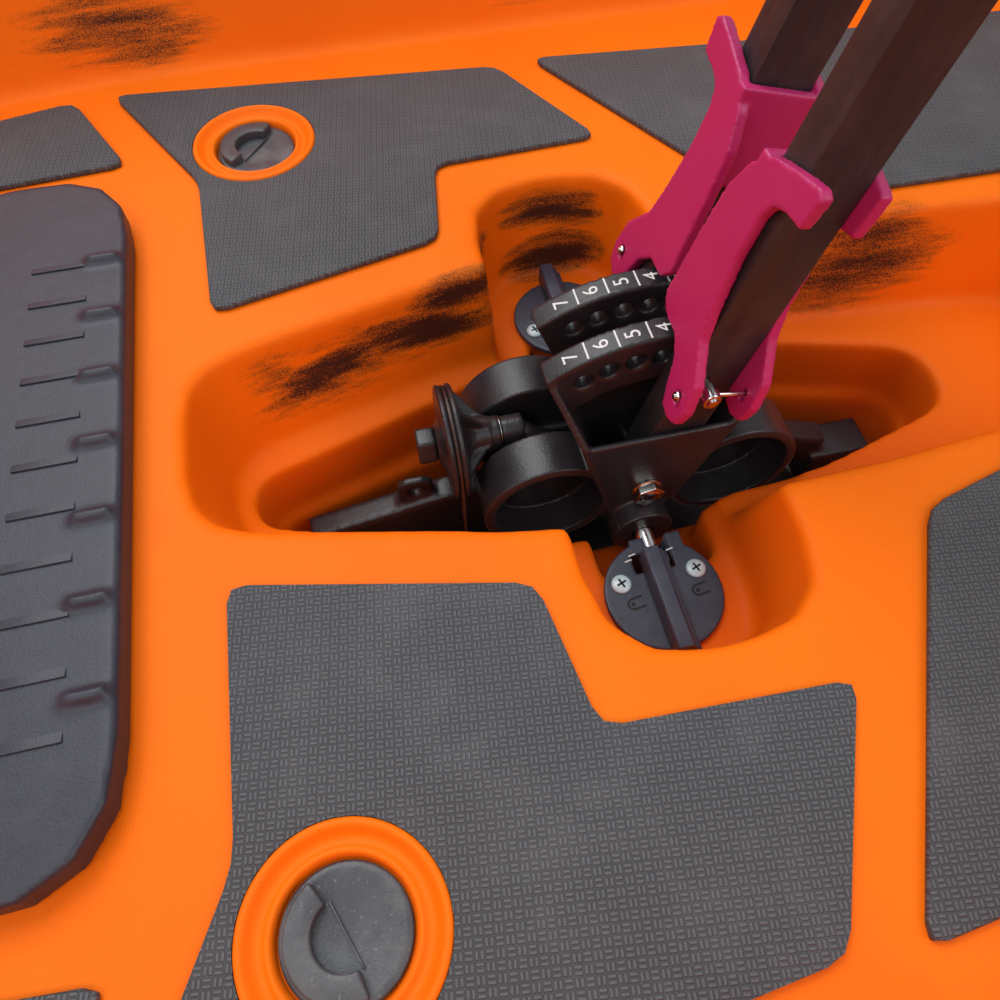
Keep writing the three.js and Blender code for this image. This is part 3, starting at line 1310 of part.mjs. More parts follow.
function addRudder(parent) {
  const stern = -hullLength / 2 - gap;
  const pinX = stern - rudderPinX;
  const knuckle = (z0, z1) => [
    rod('z', rudderKnuckleRadius, z0, z1, pinX),
    block(pinX, stern, -rudderKnuckleRadius / 2, rudderKnuckleRadius / 2, z0, z1),
  ];
  const pinBore = bore('z', rudderPinRadius, 0, deckTop, pinX);
  add(parent, 'rudder_bracket', 'plastic', carve(join([
    block(stern - rudderBracketThick, stern, -rudderBracketHalf, rudderBracketHalf, rudderLow, rudderHigh),
    ...knuckle(rudderLow, rudderLow + rudderKnuckle), ...knuckle(rudderHigh - rudderKnuckle, rudderHigh),
  ]), [pinBore]));
  add(parent, 'rudder_pin', 'metal', rod('z', rudderPinRadius, rudderLow - rudderPinRadius,
    rudderHigh + rudderPinRadius, pinX, 0, smallSides));

  const headLow = rudderLow + rudderKnuckle + gap;
  const headHigh = rudderHigh - rudderKnuckle - gap;
  const boltX = pinX - rudderArm;
  const boltZ = headLow + rudderBoltRise;
  const cheek = plate('y', [
    [boltX - rudderEye, headLow], [pinX, headLow], [pinX, headHigh],
    [pinX - rudderArm / 2, headHigh], [boltX - rudderEye, boltZ + rudderEye],
  ], -rudderCheekOuter, rudderCheekOuter);
  const clevis = block(boltX - rudderArm, pinX - rudderKnuckleRadius - rudderCheekInner,
    -rudderCheekInner, rudderCheekInner, headLow - overrun, headHigh + overrun);
  const boltHole = bore('y', rudderPinRadius, -overrun, overrun, boltX, boltZ);
  const around = rod('z', rudderKnuckleRadius + gap, headLow, headHigh, pinX);
  add(parent, 'rudder_head', 'plastic', carve(join([
    carve(cheek, [clevis, around]), rod('z', rudderKnuckleRadius, headLow, headHigh, pinX),
    block(pinX - rudderKnuckleRadius - rudderCheekInner, pinX, -rudderCheekInner, rudderCheekInner,
      headLow, headHigh),
    rod('y', rudderPinRadius, -rudderCheekOuter, rudderCheekOuter, boltX, boltZ, smallSides),
  ]), [pinBore]));

  const width = rudderEye - gap * 2;
  const sheet = plate('y', rounded([
    [-width, -rudderEye, width / 2], [-width * 2.6, -rudderBladeLength * 0.4, rudderEye * 2],
    [-width * 3.4, -rudderBladeLength, rudderEye * 2], [-width * 0.6, -rudderBladeLength, rudderEye],
    [width * 1.2, -rudderBladeLength * 0.3, rudderEye * 2], [width, 0, width],
    [0, width, width], [-width, 0, width],
  ], 3), -rudderBladeHalfThick, rudderBladeHalfThick).translate(boltX, 0, boltZ);
  add(parent, 'rudder_blade', 'fin', carve(sheet, [boltHole]));
}

function addSteering(parent) {
  const base = rod('z', steeringBaseRadius, sheerHeight - overrun, steeringBaseTop, steeringX, steeringY);
  const pinTop = steeringBaseTop + steeringPinLength;
  const deck = hullBody(-gap);
  add(parent, 'steering_base', 'plastic', join([
    carve(base, [deck]),
    rod('z', steeringPinRadius, steeringBaseTop - gap, pinTop, steeringX, steeringY, smallSides),
  ]));
  const hubLow = steeringBaseTop + gap;
  const hubHigh = hubLow + steeringHubThick;
  const lever = join([
    rod('z', steeringHubRadius, hubLow, hubHigh, steeringX, steeringY),
    plate('z', [
      [steeringX, steeringY - steeringHubRadius * 0.7],
      [steeringX + steeringReach, steeringY - steeringGripRadius],
      [steeringX + steeringReach, steeringY + steeringGripRadius],
      [steeringX, steeringY + steeringHubRadius * 0.7],
    ], hubLow, hubHigh),
    rod('z', steeringGripRadius, hubLow, hubHigh + steeringReach / 2, steeringX + steeringReach, steeringY),
  ]);
  add(parent, 'steering_handle', 'plastic', carve(lever, [
    bore('z', steeringPinRadius, steeringBaseTop - overrun, hubHigh + overrun, steeringX, steeringY)]));
}

// Carrying handles and accessory rails, trimmed to the deck or the side they stand on

function handleAcross(x, deckHeight) {
  const foot = deckHeight - overrun;
  const high = deckHeight + handleRise;
  return [
    [x, -handleHalfSpan, foot], [x, -handleHalfSpan, (foot + high) / 2],
    [x, -handleHalfSpan * 0.82, high], [x, 0, high], [x, handleHalfSpan * 0.82, high],
    [x, handleHalfSpan, (foot + high) / 2], [x, handleHalfSpan, foot],
  ];
}

function addFittings(parent) {
  const body = hullBody(-gap);
  for (const [name, x] of [['bow_handle', bowHandleX], ['stern_handle', sternHandleX]]) {
    const route = handleAcross(x, hullAt(x).sheer + deckCrown);
    add(parent, name, 'plastic', carve(tube(route, handleRadius, tubeSteps, tubeSides), [body]));
  }
  const face = hullBeam / 2;
  const sideRoute = handleAcross(0, face).map(([, along, out]) =>
    [sideHandleX + along, out, sideHandleHeight]);
  const sideHandle = carve(tube(sideRoute, handleRadius, tubeSteps, tubeSides), [body]);
  add(parent, 'side_handle_port', 'plastic', sideHandle);
  add(parent, 'side_handle_starboard', 'plastic', mirrored(sideHandle));

  const half = railWidth / 2;
  const slot = railSlotWidth / 2;
  const channel = railChannelWidth / 2;
  const rail = carve(block(railAft, railFore, railY - half, railY + half, sheerHeight - overrun, railTop), [
    body,
    block(railAft - overrun, railFore + overrun, railY - slot, railY + slot,
      railTop - railChannelDepth, railTop + overrun),
    block(railAft - overrun, railFore + overrun, railY - channel, railY + channel,
      railTop - railChannelDepth, railTop - railLip),
  ]);
  add(parent, 'accessory_rail_port', 'arm', rail);
  add(parent, 'accessory_rail_starboard', 'arm', mirrored(rail));
}

const [hull, driveWell] = makeHullAndWell();
add(kayak, 'hull', 'hull', hull);
add(kayak, 'drive_well', 'hull', driveWell);
const driveStation = groupAt(kayak, driveX, 0, 0);
addPads(driveStation);
addPlugs(driveStation);
addBowHatch(driveStation);
addLocks(driveStation);
addSpine(driveStation);
addIdler(driveStation);
addCranks(driveStation);
addFins(driveStation);
addRearHatch(kayak);
addSeat(kayak);
addRudder(kayak);
addSteering(kayak);
addFittings(kayak);

export default kayak;
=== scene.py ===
# %% [markdown]
# A pedal-driven fishing kayak, built over a frame of solids that already have the right
# sizes and joints. The photograph looks down into the cockpit, at the drive and its well,
# so those get the closest work. Lengths are metres: +X is the bow, +Y is port, +Z is up.

# %% Load the frame
import bpy
import bmesh
import json
import math
from mathutils import Matrix, Vector
from mathutils.bvhtree import BVHTree

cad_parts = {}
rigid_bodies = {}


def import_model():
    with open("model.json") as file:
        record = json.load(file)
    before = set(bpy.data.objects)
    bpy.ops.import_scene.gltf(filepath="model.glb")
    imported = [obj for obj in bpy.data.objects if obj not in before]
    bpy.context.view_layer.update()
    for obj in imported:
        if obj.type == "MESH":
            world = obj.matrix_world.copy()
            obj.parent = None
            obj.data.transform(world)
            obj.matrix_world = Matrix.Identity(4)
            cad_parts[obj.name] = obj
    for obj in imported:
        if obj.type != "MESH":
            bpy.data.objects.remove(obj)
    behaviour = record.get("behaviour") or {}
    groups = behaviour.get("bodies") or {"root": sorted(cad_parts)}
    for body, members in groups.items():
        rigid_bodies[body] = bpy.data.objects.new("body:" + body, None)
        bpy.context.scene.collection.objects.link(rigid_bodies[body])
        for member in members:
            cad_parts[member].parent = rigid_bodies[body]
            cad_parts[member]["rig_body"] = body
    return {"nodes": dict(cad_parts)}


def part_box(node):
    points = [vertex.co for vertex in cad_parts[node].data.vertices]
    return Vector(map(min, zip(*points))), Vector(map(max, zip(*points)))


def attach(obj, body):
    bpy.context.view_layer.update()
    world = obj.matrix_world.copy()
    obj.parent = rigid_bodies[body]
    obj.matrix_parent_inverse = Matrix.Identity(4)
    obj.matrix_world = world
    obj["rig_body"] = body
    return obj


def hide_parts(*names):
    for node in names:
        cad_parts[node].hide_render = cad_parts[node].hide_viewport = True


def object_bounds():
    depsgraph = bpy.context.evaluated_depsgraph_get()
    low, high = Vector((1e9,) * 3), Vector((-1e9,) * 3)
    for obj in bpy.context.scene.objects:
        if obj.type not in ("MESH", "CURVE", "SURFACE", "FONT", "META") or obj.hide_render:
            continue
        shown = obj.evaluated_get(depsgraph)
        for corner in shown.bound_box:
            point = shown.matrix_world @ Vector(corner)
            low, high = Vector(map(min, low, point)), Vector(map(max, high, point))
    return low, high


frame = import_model()
nodes = frame["nodes"]
cad_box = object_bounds()
body_of_node = {name: obj["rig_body"] for name, obj in nodes.items()}
sides = {"port": 1, "starboard": -1}
print("nodes", len(nodes), "box", [[round(c, 3) for c in corner] for corner in cad_box])

# %% [markdown]
# The camera stands where the photograph was taken from: over the port foot well, half a
# metre above the hull's bottom, looking steeply down at the far side of the drive.

# %% Camera
eye = Vector((0.4977, 0.2495, 0.5150))
heading = math.radians(-103.11)
tilt = math.radians(-59.64)
focal_length = 27.65
sensor = 36
nearest_seen = 0.02


def shown(name, data):
    """An object in the scene that shows some data."""
    thing = bpy.data.objects.new(name, data)
    bpy.context.scene.collection.objects.link(thing)
    return thing


camera_data = bpy.data.cameras.new("camera")
camera_data.lens = focal_length
camera_data.sensor_width = sensor
camera_data.clip_start = nearest_seen
camera = shown("camera", camera_data)
gaze = Vector((math.cos(tilt) * math.cos(heading), math.cos(tilt) * math.sin(heading), math.sin(tilt)))
camera.location = eye
camera.rotation_euler = gaze.to_track_quat("-Z", "Y").to_euler()
bpy.context.scene.camera = camera
bpy.context.scene.view_settings.view_transform = "Standard"
print("camera looks along", [round(c, 3) for c in gaze])

# %% [markdown]
# The sky and the materials are trees of nodes. These small helpers add nodes and groups
# without repeating their wiring. An input is a socket or a plain value, and a new node goes
# into the tree that its sockets belong to.

# %% Node helpers


def linear(red, green, blue):
    """A screen colour of 0 to 255 as the linear colour that a shader wants."""
    def one(value):
        share = value / 255
        return share / 12.92 if share <= 0.04045 else ((share + 0.055) / 1.055) ** 2.4
    return (one(red), one(green), one(blue), 1)


def feed(socket, value):
    """Links a socket to the one its value comes from, or sets a plain value on it."""
    if hasattr(value, "links"):
        socket.id_data.links.new(value, socket)
    else:
        socket.default_value = value


def added_node(kind, inputs, output=0, **settings):
    """Adds a node to the tree that its inputs come from, and gives one of its outputs."""
    tree = next(value.id_data for value in inputs.values() if hasattr(value, "links"))
    node = tree.nodes.new("ShaderNode" + kind)
    for key, value in settings.items():
        setattr(node, key, value)
    for key, value in inputs.items():
        feed(node.inputs[key], value)
    return node.outputs[output]


def new_group(name, inputs, outputs):
    """A shader group; an input is (name, kind, default), and every output is a number."""
    group = bpy.data.node_groups.new(name, "ShaderNodeTree")
    for socket_name, kind, default in inputs:
        socket = group.interface.new_socket(socket_name, in_out="INPUT", socket_type="NodeSocket" + kind)
        if default is not None:
            socket.default_value = default
    for socket_name in outputs:
        group.interface.new_socket(socket_name, in_out="OUTPUT", socket_type="NodeSocketFloat")
    entry = group.nodes.new("NodeGroupInput")
    leave = group.nodes.new("NodeGroupOutput")
    return group, entry.outputs, leave.inputs


def use_group(group, **values):
    """Places a group, sets its named inputs and gives its outputs."""
    return added_node("Group", values, node_tree=group).node.outputs


def maths(operation, first, second=0.5, clamp=False):
    """A Math node."""
    return added_node("Math", {0: first, 1: second}, operation=operation, use_clamp=clamp)


def times(first, second):
    """The product of two."""
    return maths("MULTIPLY", first, second)


def plus(first, second):
    """The sum of two."""
    return maths("ADD", first, second)


def vector_maths(operation, first, second):
    """A Vector Math node."""
    output = "Value" if operation == "LENGTH" else "Vector"
    return added_node("VectorMath", {0: first, 1: second}, output, operation=operation)


def ramp(value, low, high):
    """Goes smoothly from 0 at low to 1 at high."""
    inputs = {"Value": value, "From Min": low, "From Max": high}
    return added_node("MapRange", inputs, "Result", interpolation_type="SMOOTHSTEP")


def noise(place, scale, detail, roughness):
    """Noise between about 0.3 and 0.7; the scale is in cells a metre."""
    inputs = {"Vector": place, "Scale": scale, "Detail": detail, "Roughness": roughness}
    return added_node("TexNoise", inputs, "Fac")


def axis_of(place, axis):
    """One axis of a place."""
    return added_node("SeparateXYZ", {0: place}, axis)


def stretched(place, scale=(1, 1, 1), turn=0):
    """The place with each axis scaled, or turned about Z, so that a pattern runs another way."""
    return added_node("Mapping", {"Vector": place, "Scale": scale, "Rotation": (0, 0, turn)})


def mixed(share, first, second):
    """A colour between two, by a mask."""
    return added_node("Mix", {0: share, 6: first, 7: second}, 2, data_type="RGBA")


# %% [markdown]
# A bright overcast sky is one big soft source. The world gives the even part of it, and
# wide lamps high over the cockpit give soft shadows in the well and long highlights on the
# glossy plastic. To the camera, and through glass, the background stays white.

# %% Light and floor
lamp_height = 2.6
drive_centre = (0.38, 0, 0.2)
sky_tint = (0.94, 0.97, 1, 1)
sky_strength = 0.55
floor_size = 30
floor_drop = 0.02
floor_tone = 0.82
floor_roughness = 0.9

# Each lamp: its name, its place, its power and its width.
lamps = [
    ("lamp_key", (1.0, -1.3, lamp_height), 44, 1.8),
    ("lamp_fill", (-1.6, 1.4, lamp_height), 34, 2.4),
    ("lamp_rim", (1.8, 1.2, lamp_height), 16, 1.6),
]
for lamp_name, lamp_place, power, width in lamps:
    lamp_data = bpy.data.lights.new(lamp_name, "AREA")
    lamp_data.energy = power
    lamp_data.size = width
    lamp = shown(lamp_name, lamp_data)
    lamp.location = lamp_place
    lamp.rotation_euler = (Vector(drive_centre) - Vector(lamp_place)).to_track_quat("-Z", "Y").to_euler()

world = bpy.data.worlds.new("sky")
bpy.context.scene.world = world
world.use_nodes = True
sky = world.node_tree
sky.nodes.clear()
seen = sky.nodes.new("ShaderNodeLightPath").outputs
either = maths("MAXIMUM", seen["Is Camera Ray"], seen["Is Transmission Ray"])
chosen = added_node("MixShader", {0: either}).node
for socket, colour, strength in ((1, sky_tint, sky_strength), (2, (1, 1, 1, 1), 1)):
    background = sky.nodes.new("ShaderNodeBackground")
    background.inputs["Color"].default_value = colour
    background.inputs["Strength"].default_value = strength
    feed(chosen.inputs[socket], background.outputs[0])
feed(sky.nodes.new("ShaderNodeOutputWorld").inputs["Surface"], chosen.outputs[0])

floor_mesh = bpy.data.meshes.new("floor")
ground = bmesh.new()
bmesh.ops.create_grid(ground, x_segments=1, y_segments=1, size=floor_size)
bmesh.ops.translate(ground, verts=ground.verts, vec=(0, 0, cad_box[0][2] - floor_drop))
ground.to_mesh(floor_mesh)
ground.free()
floor = shown("floor", floor_mesh)
floor_paint = bpy.data.materials.new("floor_paint")
floor_paint.use_nodes = True
floor_shader = floor_paint.node_tree.nodes["Principled BSDF"]
floor_shader.inputs["Base Color"].default_value = (floor_tone, floor_tone, floor_tone, 1)
floor_shader.inputs["Roughness"].default_value = floor_roughness
floor_mesh.materials.append(floor_paint)
print("floor at", round(cad_box[0][2] - floor_drop, 3))

# %% [markdown]
# Materials share a few effects. Each is a node group that gives out only a mask, a height
# or a shade; the shader itself stays in the material. Every moulded surface has a fine
# grain, a few soft waves from cooling and some dust. The streak group is 1 in the middle of
# a long ellipsoid and falls to 0 at its skin.

# %% Shared effects: grain, dust and streaks
place_input = ("Place", "Vector", None)
fine_share = 0.35
patch_scale = 28
speck_scale = 700

grain_group, grain_in, grain_out = new_group(
    "moulded_grain", [place_input, ("Fine", "Float", 900.0), ("Coarse", "Float", 60.0)], ["Height"])
fine_grain = noise(grain_in["Place"], grain_in["Fine"], 2, 0.5)
coarse_grain = noise(grain_in["Place"], grain_in["Coarse"], 2, 0.5)
feed(grain_out["Height"], plus(times(fine_grain, fine_share), times(coarse_grain, 1 - fine_share)))

dust_group, dust_in, dust_out = new_group("dust", [place_input, ("Amount", "Float", 0.2)], ["Mask"])
soft_dust = ramp(noise(dust_in["Place"], patch_scale, 6, 0.65), 0.42, 0.72)
speck_dust = ramp(noise(dust_in["Place"], speck_scale, 2, 0.5), 0.66, 0.74)
dust_sum = plus(soft_dust, speck_dust)
feed(dust_out["Mask"], maths("MULTIPLY", dust_sum, dust_in["Amount"], clamp=True))

streak_group, streak_in, streak_out = new_group(
    "streak", [place_input, ("Centre", "Vector", (0, 0, 0)), ("Turn", "Vector", (0, 0, 0)),
               ("Reach", "Vector", (0.1, 0.02, 0.02))], ["Mask"])
from_centre = vector_maths("SUBTRACT", streak_in["Place"], streak_in["Centre"])
turned = added_node("VectorRotate", {"Vector": from_centre, "Rotation": streak_in["Turn"]},
                    rotation_type="EULER_XYZ", invert=True)
shares = vector_maths("DIVIDE", turned, streak_in["Reach"])
apart = vector_maths("LENGTH", shares, (0, 0, 0))
feed(streak_out["Mask"], maths("SUBTRACT", 1.0, apart, clamp=True))
print("effects:", grain_group.name, dust_group.name, streak_group.name)

# %% [markdown]
# A material starts as one Principled shader. Most of them then take the same three things:
# a colour under dust of another colour, and the mould's grain as a bump.

# %% Material helpers
dust_dulling = 0.35


def start_material(name, roughness, metallic=0.0, specular=0.5):
    """A Principled material, its shader and its Object coordinates."""
    material = bpy.data.materials.new(name)
    material.use_nodes = True
    tree = material.node_tree
    shader = tree.nodes["Principled BSDF"]
    shader.inputs["Roughness"].default_value = roughness
    shader.inputs["Metallic"].default_value = metallic
    shader.inputs["Specular IOR Level"].default_value = specular
    place = tree.nodes.new("ShaderNodeTexCoord").outputs["Object"]
    return material, shader, place


def dusted(shader, place, amount, tone, dust_tone):
    """Colours a shader with a tone and dust of another, and gives the dust's mask."""
    mask = use_group(dust_group, Place=place, Amount=amount)["Mask"]
    feed(shader.inputs["Base Color"], mixed(mask, tone, dust_tone))
    return mask


def bumped(shader, height, depth):
    """Feeds a height in metres times depth to the shader's normal."""
    feed(shader.inputs["Normal"], added_node("Bump", {"Height": height, "Strength": 1, "Distance": depth}))


def moulded(name, colour, dusty, roughness, dust=0.15, depth=0.0004, fine=900, coarse=70, specular=0.5):
    """Plain moulded plastic: a screen colour, dust of another, and the grain of the mould."""
    material, shader, place = start_material(name, roughness, specular=specular)
    mask = dusted(shader, place, dust, linear(*colour), linear(*dusty))
    dulled = maths("ADD", roughness, times(mask, dust_dulling), clamp=True)
    feed(shader.inputs["Roughness"], dulled)
    bumped(shader, use_group(grain_group, Place=place, Fine=fine, Coarse=coarse)["Height"], depth)
    return material


# %% [markdown]
# The hull is roto-moulded: orange plastic powder is tumbled in a hot mould, with a little
# black in it. Most of the deck comes out plain orange with a fine pebbled skin, and black
# grains gather in brushed streaks on the walls of the wells. So the material is orange,
# slightly cloudy, and darker inside the drive well. That darker orange is painted shade, since
# the deep walls of the well get little light. Each streak is a long soft ellipsoid between two
# points, and its mask is a density: where it is high the grains lie close together, and at its
# edge they scatter.

# %% Hull material
orange = linear(253, 119, 10)
deep_orange = linear(247, 104, 7)
# The colour of the painted shade inside the drive well.
well_shade_orange = linear(188, 64, 8)
pigment_black = linear(40, 27, 28)
olive_bloom = linear(150, 92, 30)
cloud_scale = 9
# Where the painted shade in the drive well lies: its middle and its reach.
well_shade_middle = (0.32, 0, 0.085)
well_shade_reach = (0.34, 0.23, 0.112)
streak_reach = 0.62
brush_stretch = (0.42, 2.4, 3.9)
brush_scale = 34
pigment_scale = 1500
skin_depth = 0.0005

# Each streak: its two ends, its half thickness and its strength.
streak_places = [
    ((0.576, -0.048, 0.152), (0.480, -0.073, 0.176), 0.017, 0.95),
    ((0.516, -0.066, 0.174), (0.418, -0.082, 0.163), 0.018, 1.2),
    ((0.482, -0.077, 0.181), (0.412, -0.089, 0.187), 0.017, 1.1),
    ((0.600, -0.044, 0.150), (0.420, -0.084, 0.178), 0.036, 0.42),
    ((0.428, -0.100, 0.188), (0.424, -0.158, 0.160), 0.017, 0.6),
    ((0.416, -0.160, 0.174), (0.314, -0.160, 0.168), 0.020, 1.0),
    ((0.410, -0.154, 0.132), (0.318, -0.154, 0.142), 0.021, 1.15),
    ((0.262, -0.080, 0.144), (0.110, -0.086, 0.166), 0.038, 1.0),
    ((0.220, -0.080, 0.166), (0.136, -0.088, 0.182), 0.026, 0.95),
    ((0.700, -0.345, 0.230), (0.560, -0.342, 0.218), 0.040, 0.6),
    ((0.420, -0.346, 0.206), (0.300, -0.346, 0.208), 0.018, 0.45),
    ((0.585, -0.030, 0.160), (0.535, -0.066, 0.188), 0.026, 0.36),
    ((-0.120, 0.345, 0.240), (-0.300, 0.345, 0.228), 0.026, 0.8),
    ((0.980, -0.250, 0.250), (0.800, -0.320, 0.240), 0.026, 0.8),
    ((-0.760, 0.280, 0.300), (-0.960, 0.270, 0.290), 0.026, 0.8),
    ((-1.320, -0.225, 0.310), (-1.160, -0.245, 0.300), 0.024, 0.7),
]


def swing(value, gain):
    """How far a noise lies from its middle, times a gain."""
    return times(maths("SUBTRACT", value, 0.5), gain)


hull_paint, shader, place = start_material("hull_orange", 0.5, specular=0.14)
clouds = ramp(noise(place, cloud_scale, 3, 0.5), 0.35, 0.7)
open_orange = mixed(times(clouds, 0.4), orange, deep_orange)
# Painted shade: the orange grows darker towards the middle of the drive well.
well_shade_zone = use_group(streak_group, Place=place, Centre=well_shade_middle, Turn=(0, 0, 0), Reach=well_shade_reach)
well_shade_share = times(ramp(well_shade_zone["Mask"], 0.04, 0.62), 0.62)
orange_with_shade = mixed(well_shade_share, open_orange, well_shade_orange)

gathered = None
for start, end, half_thick, strength in streak_places:
    span = Vector(end) - Vector(start)
    streak = use_group(streak_group, Place=place, Centre=tuple((Vector(end) + Vector(start)) / 2),
                       Turn=tuple(span.to_track_quat("X", "Z").to_euler()),
                       Reach=(span.length * streak_reach, half_thick, half_thick))
    level = times(streak["Mask"], strength)
    gathered = level if gathered is None else maths("MAXIMUM", gathered, level)
brushed = noise(stretched(place, brush_stretch), brush_scale, 5, 0.68)
grains = noise(place, pigment_scale, 2, 0.6)
density = plus(times(gathered, 1.15), swing(brushed, 1.75))
density = times(density, ramp(gathered, 0.0, 0.3))
scattered = plus(density, swing(grains, 2.2))
marbling = times(ramp(scattered, 0.26, 0.86), 0.93)
bloom = times(ramp(density, 0.02, 0.5), 0.55)
bloomed = mixed(bloom, orange_with_shade, olive_bloom)
feed(shader.inputs["Base Color"], mixed(marbling, bloomed, pigment_black))
pebbles = use_group(grain_group, Place=place, Fine=1500.0, Coarse=45.0)["Height"]
bumped(shader, pebbles, skin_depth)
print("streaks", len(streak_places))

# %% [markdown]
# The hull's solid is a thin shell with sharp corners, but a roto-moulded skin rounds every
# edge by several millimetres. A voxel remesh gives it even small faces, which are then
# smoothed, and that rounds edges the way the powder does. These helpers do it for any part.

# %% Piece and shell helpers
weld_reach = 0.00002


def new_piece(name, work, material, smooth=True):
    """Turns a bmesh into an object in the scene."""
    mesh = bpy.data.meshes.new(name)
    work.to_mesh(mesh)
    work.free()
    mesh.materials.append(material)
    if smooth:
        mesh.shade_smooth()
    return shown(name, mesh)


def merged_copy(node, dissolve=None):
    """The node's mesh as a bmesh with shared corners and, if asked, whole flat faces."""
    work = bmesh.new()
    work.from_mesh(nodes[node].data)
    bmesh.ops.remove_doubles(work, verts=work.verts, dist=weld_reach)
    if dissolve is not None:
        bmesh.ops.dissolve_limit(work, angle_limit=math.radians(dissolve), verts=work.verts, edges=work.edges)
    return work


def baked(piece):
    """Applies the piece's modifiers to its mesh."""
    graph = bpy.context.evaluated_depsgraph_get()
    graph.update()
    done = bpy.data.meshes.new_from_object(piece.evaluated_get(graph))
    old = piece.data
    piece.modifiers.clear()
    piece.data = done
    bpy.data.meshes.remove(old)
    return piece


def remeshed(piece, voxel):
    """Even small faces all over a closed piece."""
    step = piece.modifiers.new("remesh", "REMESH")
    step.mode = "VOXEL"
    step.voxel_size = voxel
    return baked(piece)


def relaxed(piece, rounds, amount=0.5, keep=None):
    """Smooths a piece; keep() may give a share from 0 to 1 to each corner."""
    step = piece.modifiers.new("relax", "SMOOTH")
    step.factor = amount
    step.iterations = rounds
    if keep is not None:
        group = piece.vertex_groups.new(name="relax")
        for vertex in piece.data.vertices:
            group.add([vertex.index], keep(vertex.co), "REPLACE")
        step.vertex_group = "relax"
    baked(piece)
    piece.vertex_groups.clear()
    return piece


def thinned(piece, target):
    """Takes triangles away until about the target is left."""
    count = sum(len(face.vertices) - 2 for face in piece.data.polygons)
    if count > target:
        step = piece.modifiers.new("thin", "DECIMATE")
        step.ratio = target / count
        baked(piece)
    return piece


def finish_piece(piece, *names):
    """Lets the piece ride with its first node's body and stand for all of its nodes."""
    piece.data.shade_smooth()
    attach(piece, body_of_node[names[0]])
    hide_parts(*names)
    return piece


def crisp(piece, angle):
    """Leaves the edges that turn by more than an angle sharp."""
    piece.data.set_sharp_from_angle(angle=math.radians(angle))
    return piece


def added(name, work, material, body, smooth=False):
    """A piece that stands for no node, so its body is given."""
    piece = new_piece(name, work, material, smooth)
    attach(piece, body)
    return piece


# %% [markdown]
# Only the part of the hull round the drive needs small voxels, so the hull is cut in three.
# Each slice is taken a little too long, remeshed and smoothed, and cut off again at its
# station, because smoothing rounds a slice's end and the join would show. The wall's inner
# face is never seen except through the hatches, so faces from which no straight line
# reaches the open air are taken away.

# %% Hull slices
fine_aft = 0.03
fine_fore = 0.80
fine_voxel = 0.0034
coarse_voxel = 0.0046
seam_overlap = 0.0006
slice_spare = 0.022
cut_reach = 0.00001
far_ray = 8.0
ray_lift = 0.0005
least_facing = 0.05
ray_rings = 5
ray_round = 14


def whole_moulding():
    """The hull and its drive well, two solids in the frame, as the one moulding they look like."""
    first = new_piece("moulding", merged_copy("hull"), hull_paint)
    well = new_piece("moulding_well", merged_copy("drive_well"), hull_paint)
    step = first.modifiers.new("join", "BOOLEAN")
    step.operation = "UNION"
    step.solver = "EXACT"
    step.object = well
    baked(first)
    work = bmesh.new()
    work.from_mesh(first.data)
    bmesh.ops.remove_doubles(work, verts=work.verts, dist=weld_reach)
    bpy.data.objects.remove(first)
    bpy.data.objects.remove(well)
    return work


def outwards(work):
    """Makes every face point outwards."""
    bmesh.ops.recalc_face_normals(work, faces=work.faces)
    return work


def cut_off(work, low, high):
    """Takes away what lies beyond two stations along the hull; None leaves that end whole."""
    for station, keep_side in ((low, 1), (high, -1)):
        if station is not None:
            everything = list(work.verts) + list(work.edges) + list(work.faces)
            bmesh.ops.bisect_plane(work, geom=everything, dist=cut_reach, plane_co=(station, 0, 0),
                                   plane_no=(keep_side, 0, 0), clear_inner=True)
    return work


def closed_slice(low, high):
    """The part of the moulding between two stations and a little more, closed by flat caps."""
    work = moulding.copy()
    ends = [(low - slice_spare, None)] if low is not None else []
    ends += [(None, high + slice_spare)] if high is not None else []
    for end in ends:
        cut_off(work, *end)
        rim = [edge for edge in work.edges if edge.is_boundary]
        bmesh.ops.triangle_fill(work, use_beauty=True, use_dissolve=False, edges=rim)
    return outwards(work)


def open_air(work, finder):
    """Which faces see the open air along some straight line."""
    spread = []
    for ring in range(ray_rings):
        height = math.radians(8 + 18 * ring)
        count = max(1, round(ray_round * math.cos(height)))
        for i in range(count):
            around = 2 * math.pi * (i + 0.5 * (ring % 2)) / count
            spread.append(Vector((math.cos(height) * math.cos(around),
                                  math.cos(height) * math.sin(around), math.sin(height))))
    spread += [-direction for direction in spread]
    seen_faces = set()
    for face in work.faces:
        start = face.calc_center_median() + face.normal * ray_lift
        for direction in spread:
            if direction.dot(face.normal) > least_facing:
                if finder.ray_cast(start, direction, far_ray)[0] is None:
                    seen_faces.add(face.index)
                    break
    return seen_faces


moulding = whole_moulding()
moulding.faces.ensure_lookup_table()
face_finder = BVHTree.FromBMesh(moulding)
outside = open_air(moulding, face_finder)
print("hull faces", len(moulding.faces), "seeing open air", len(outside))

# %% [markdown]
# The drain rings have narrow lips that full smoothing would melt, so they get a quarter of
# it. Then the three slices are put into one piece that stands for both solids.

# %% Hull
plug_place = (0.551, 0.232)
ring_reach = 0.045
ring_share = 0.25


def outer_skin(piece, low, high):
    """Drops the inner face of the wall, and the slice's spare ends with their rounded caps."""
    work = bmesh.new()
    work.from_mesh(piece.data)
    cut_off(work, low, high)
    gone = [face for face in work.faces
            if face_finder.find_nearest(face.calc_center_median())[2] not in outside]
    bmesh.ops.delete(work, geom=gone, context="FACES")
    work.to_mesh(piece.data)
    work.free()
    return piece


def less_at_rings(corner):
    """Full smoothing on the hull, little of it on the narrow lips of the drain rings."""
    nearest = math.hypot(corner.x - plug_place[0], abs(corner.y) - plug_place[1])
    return ring_share if nearest < ring_reach else 1.0


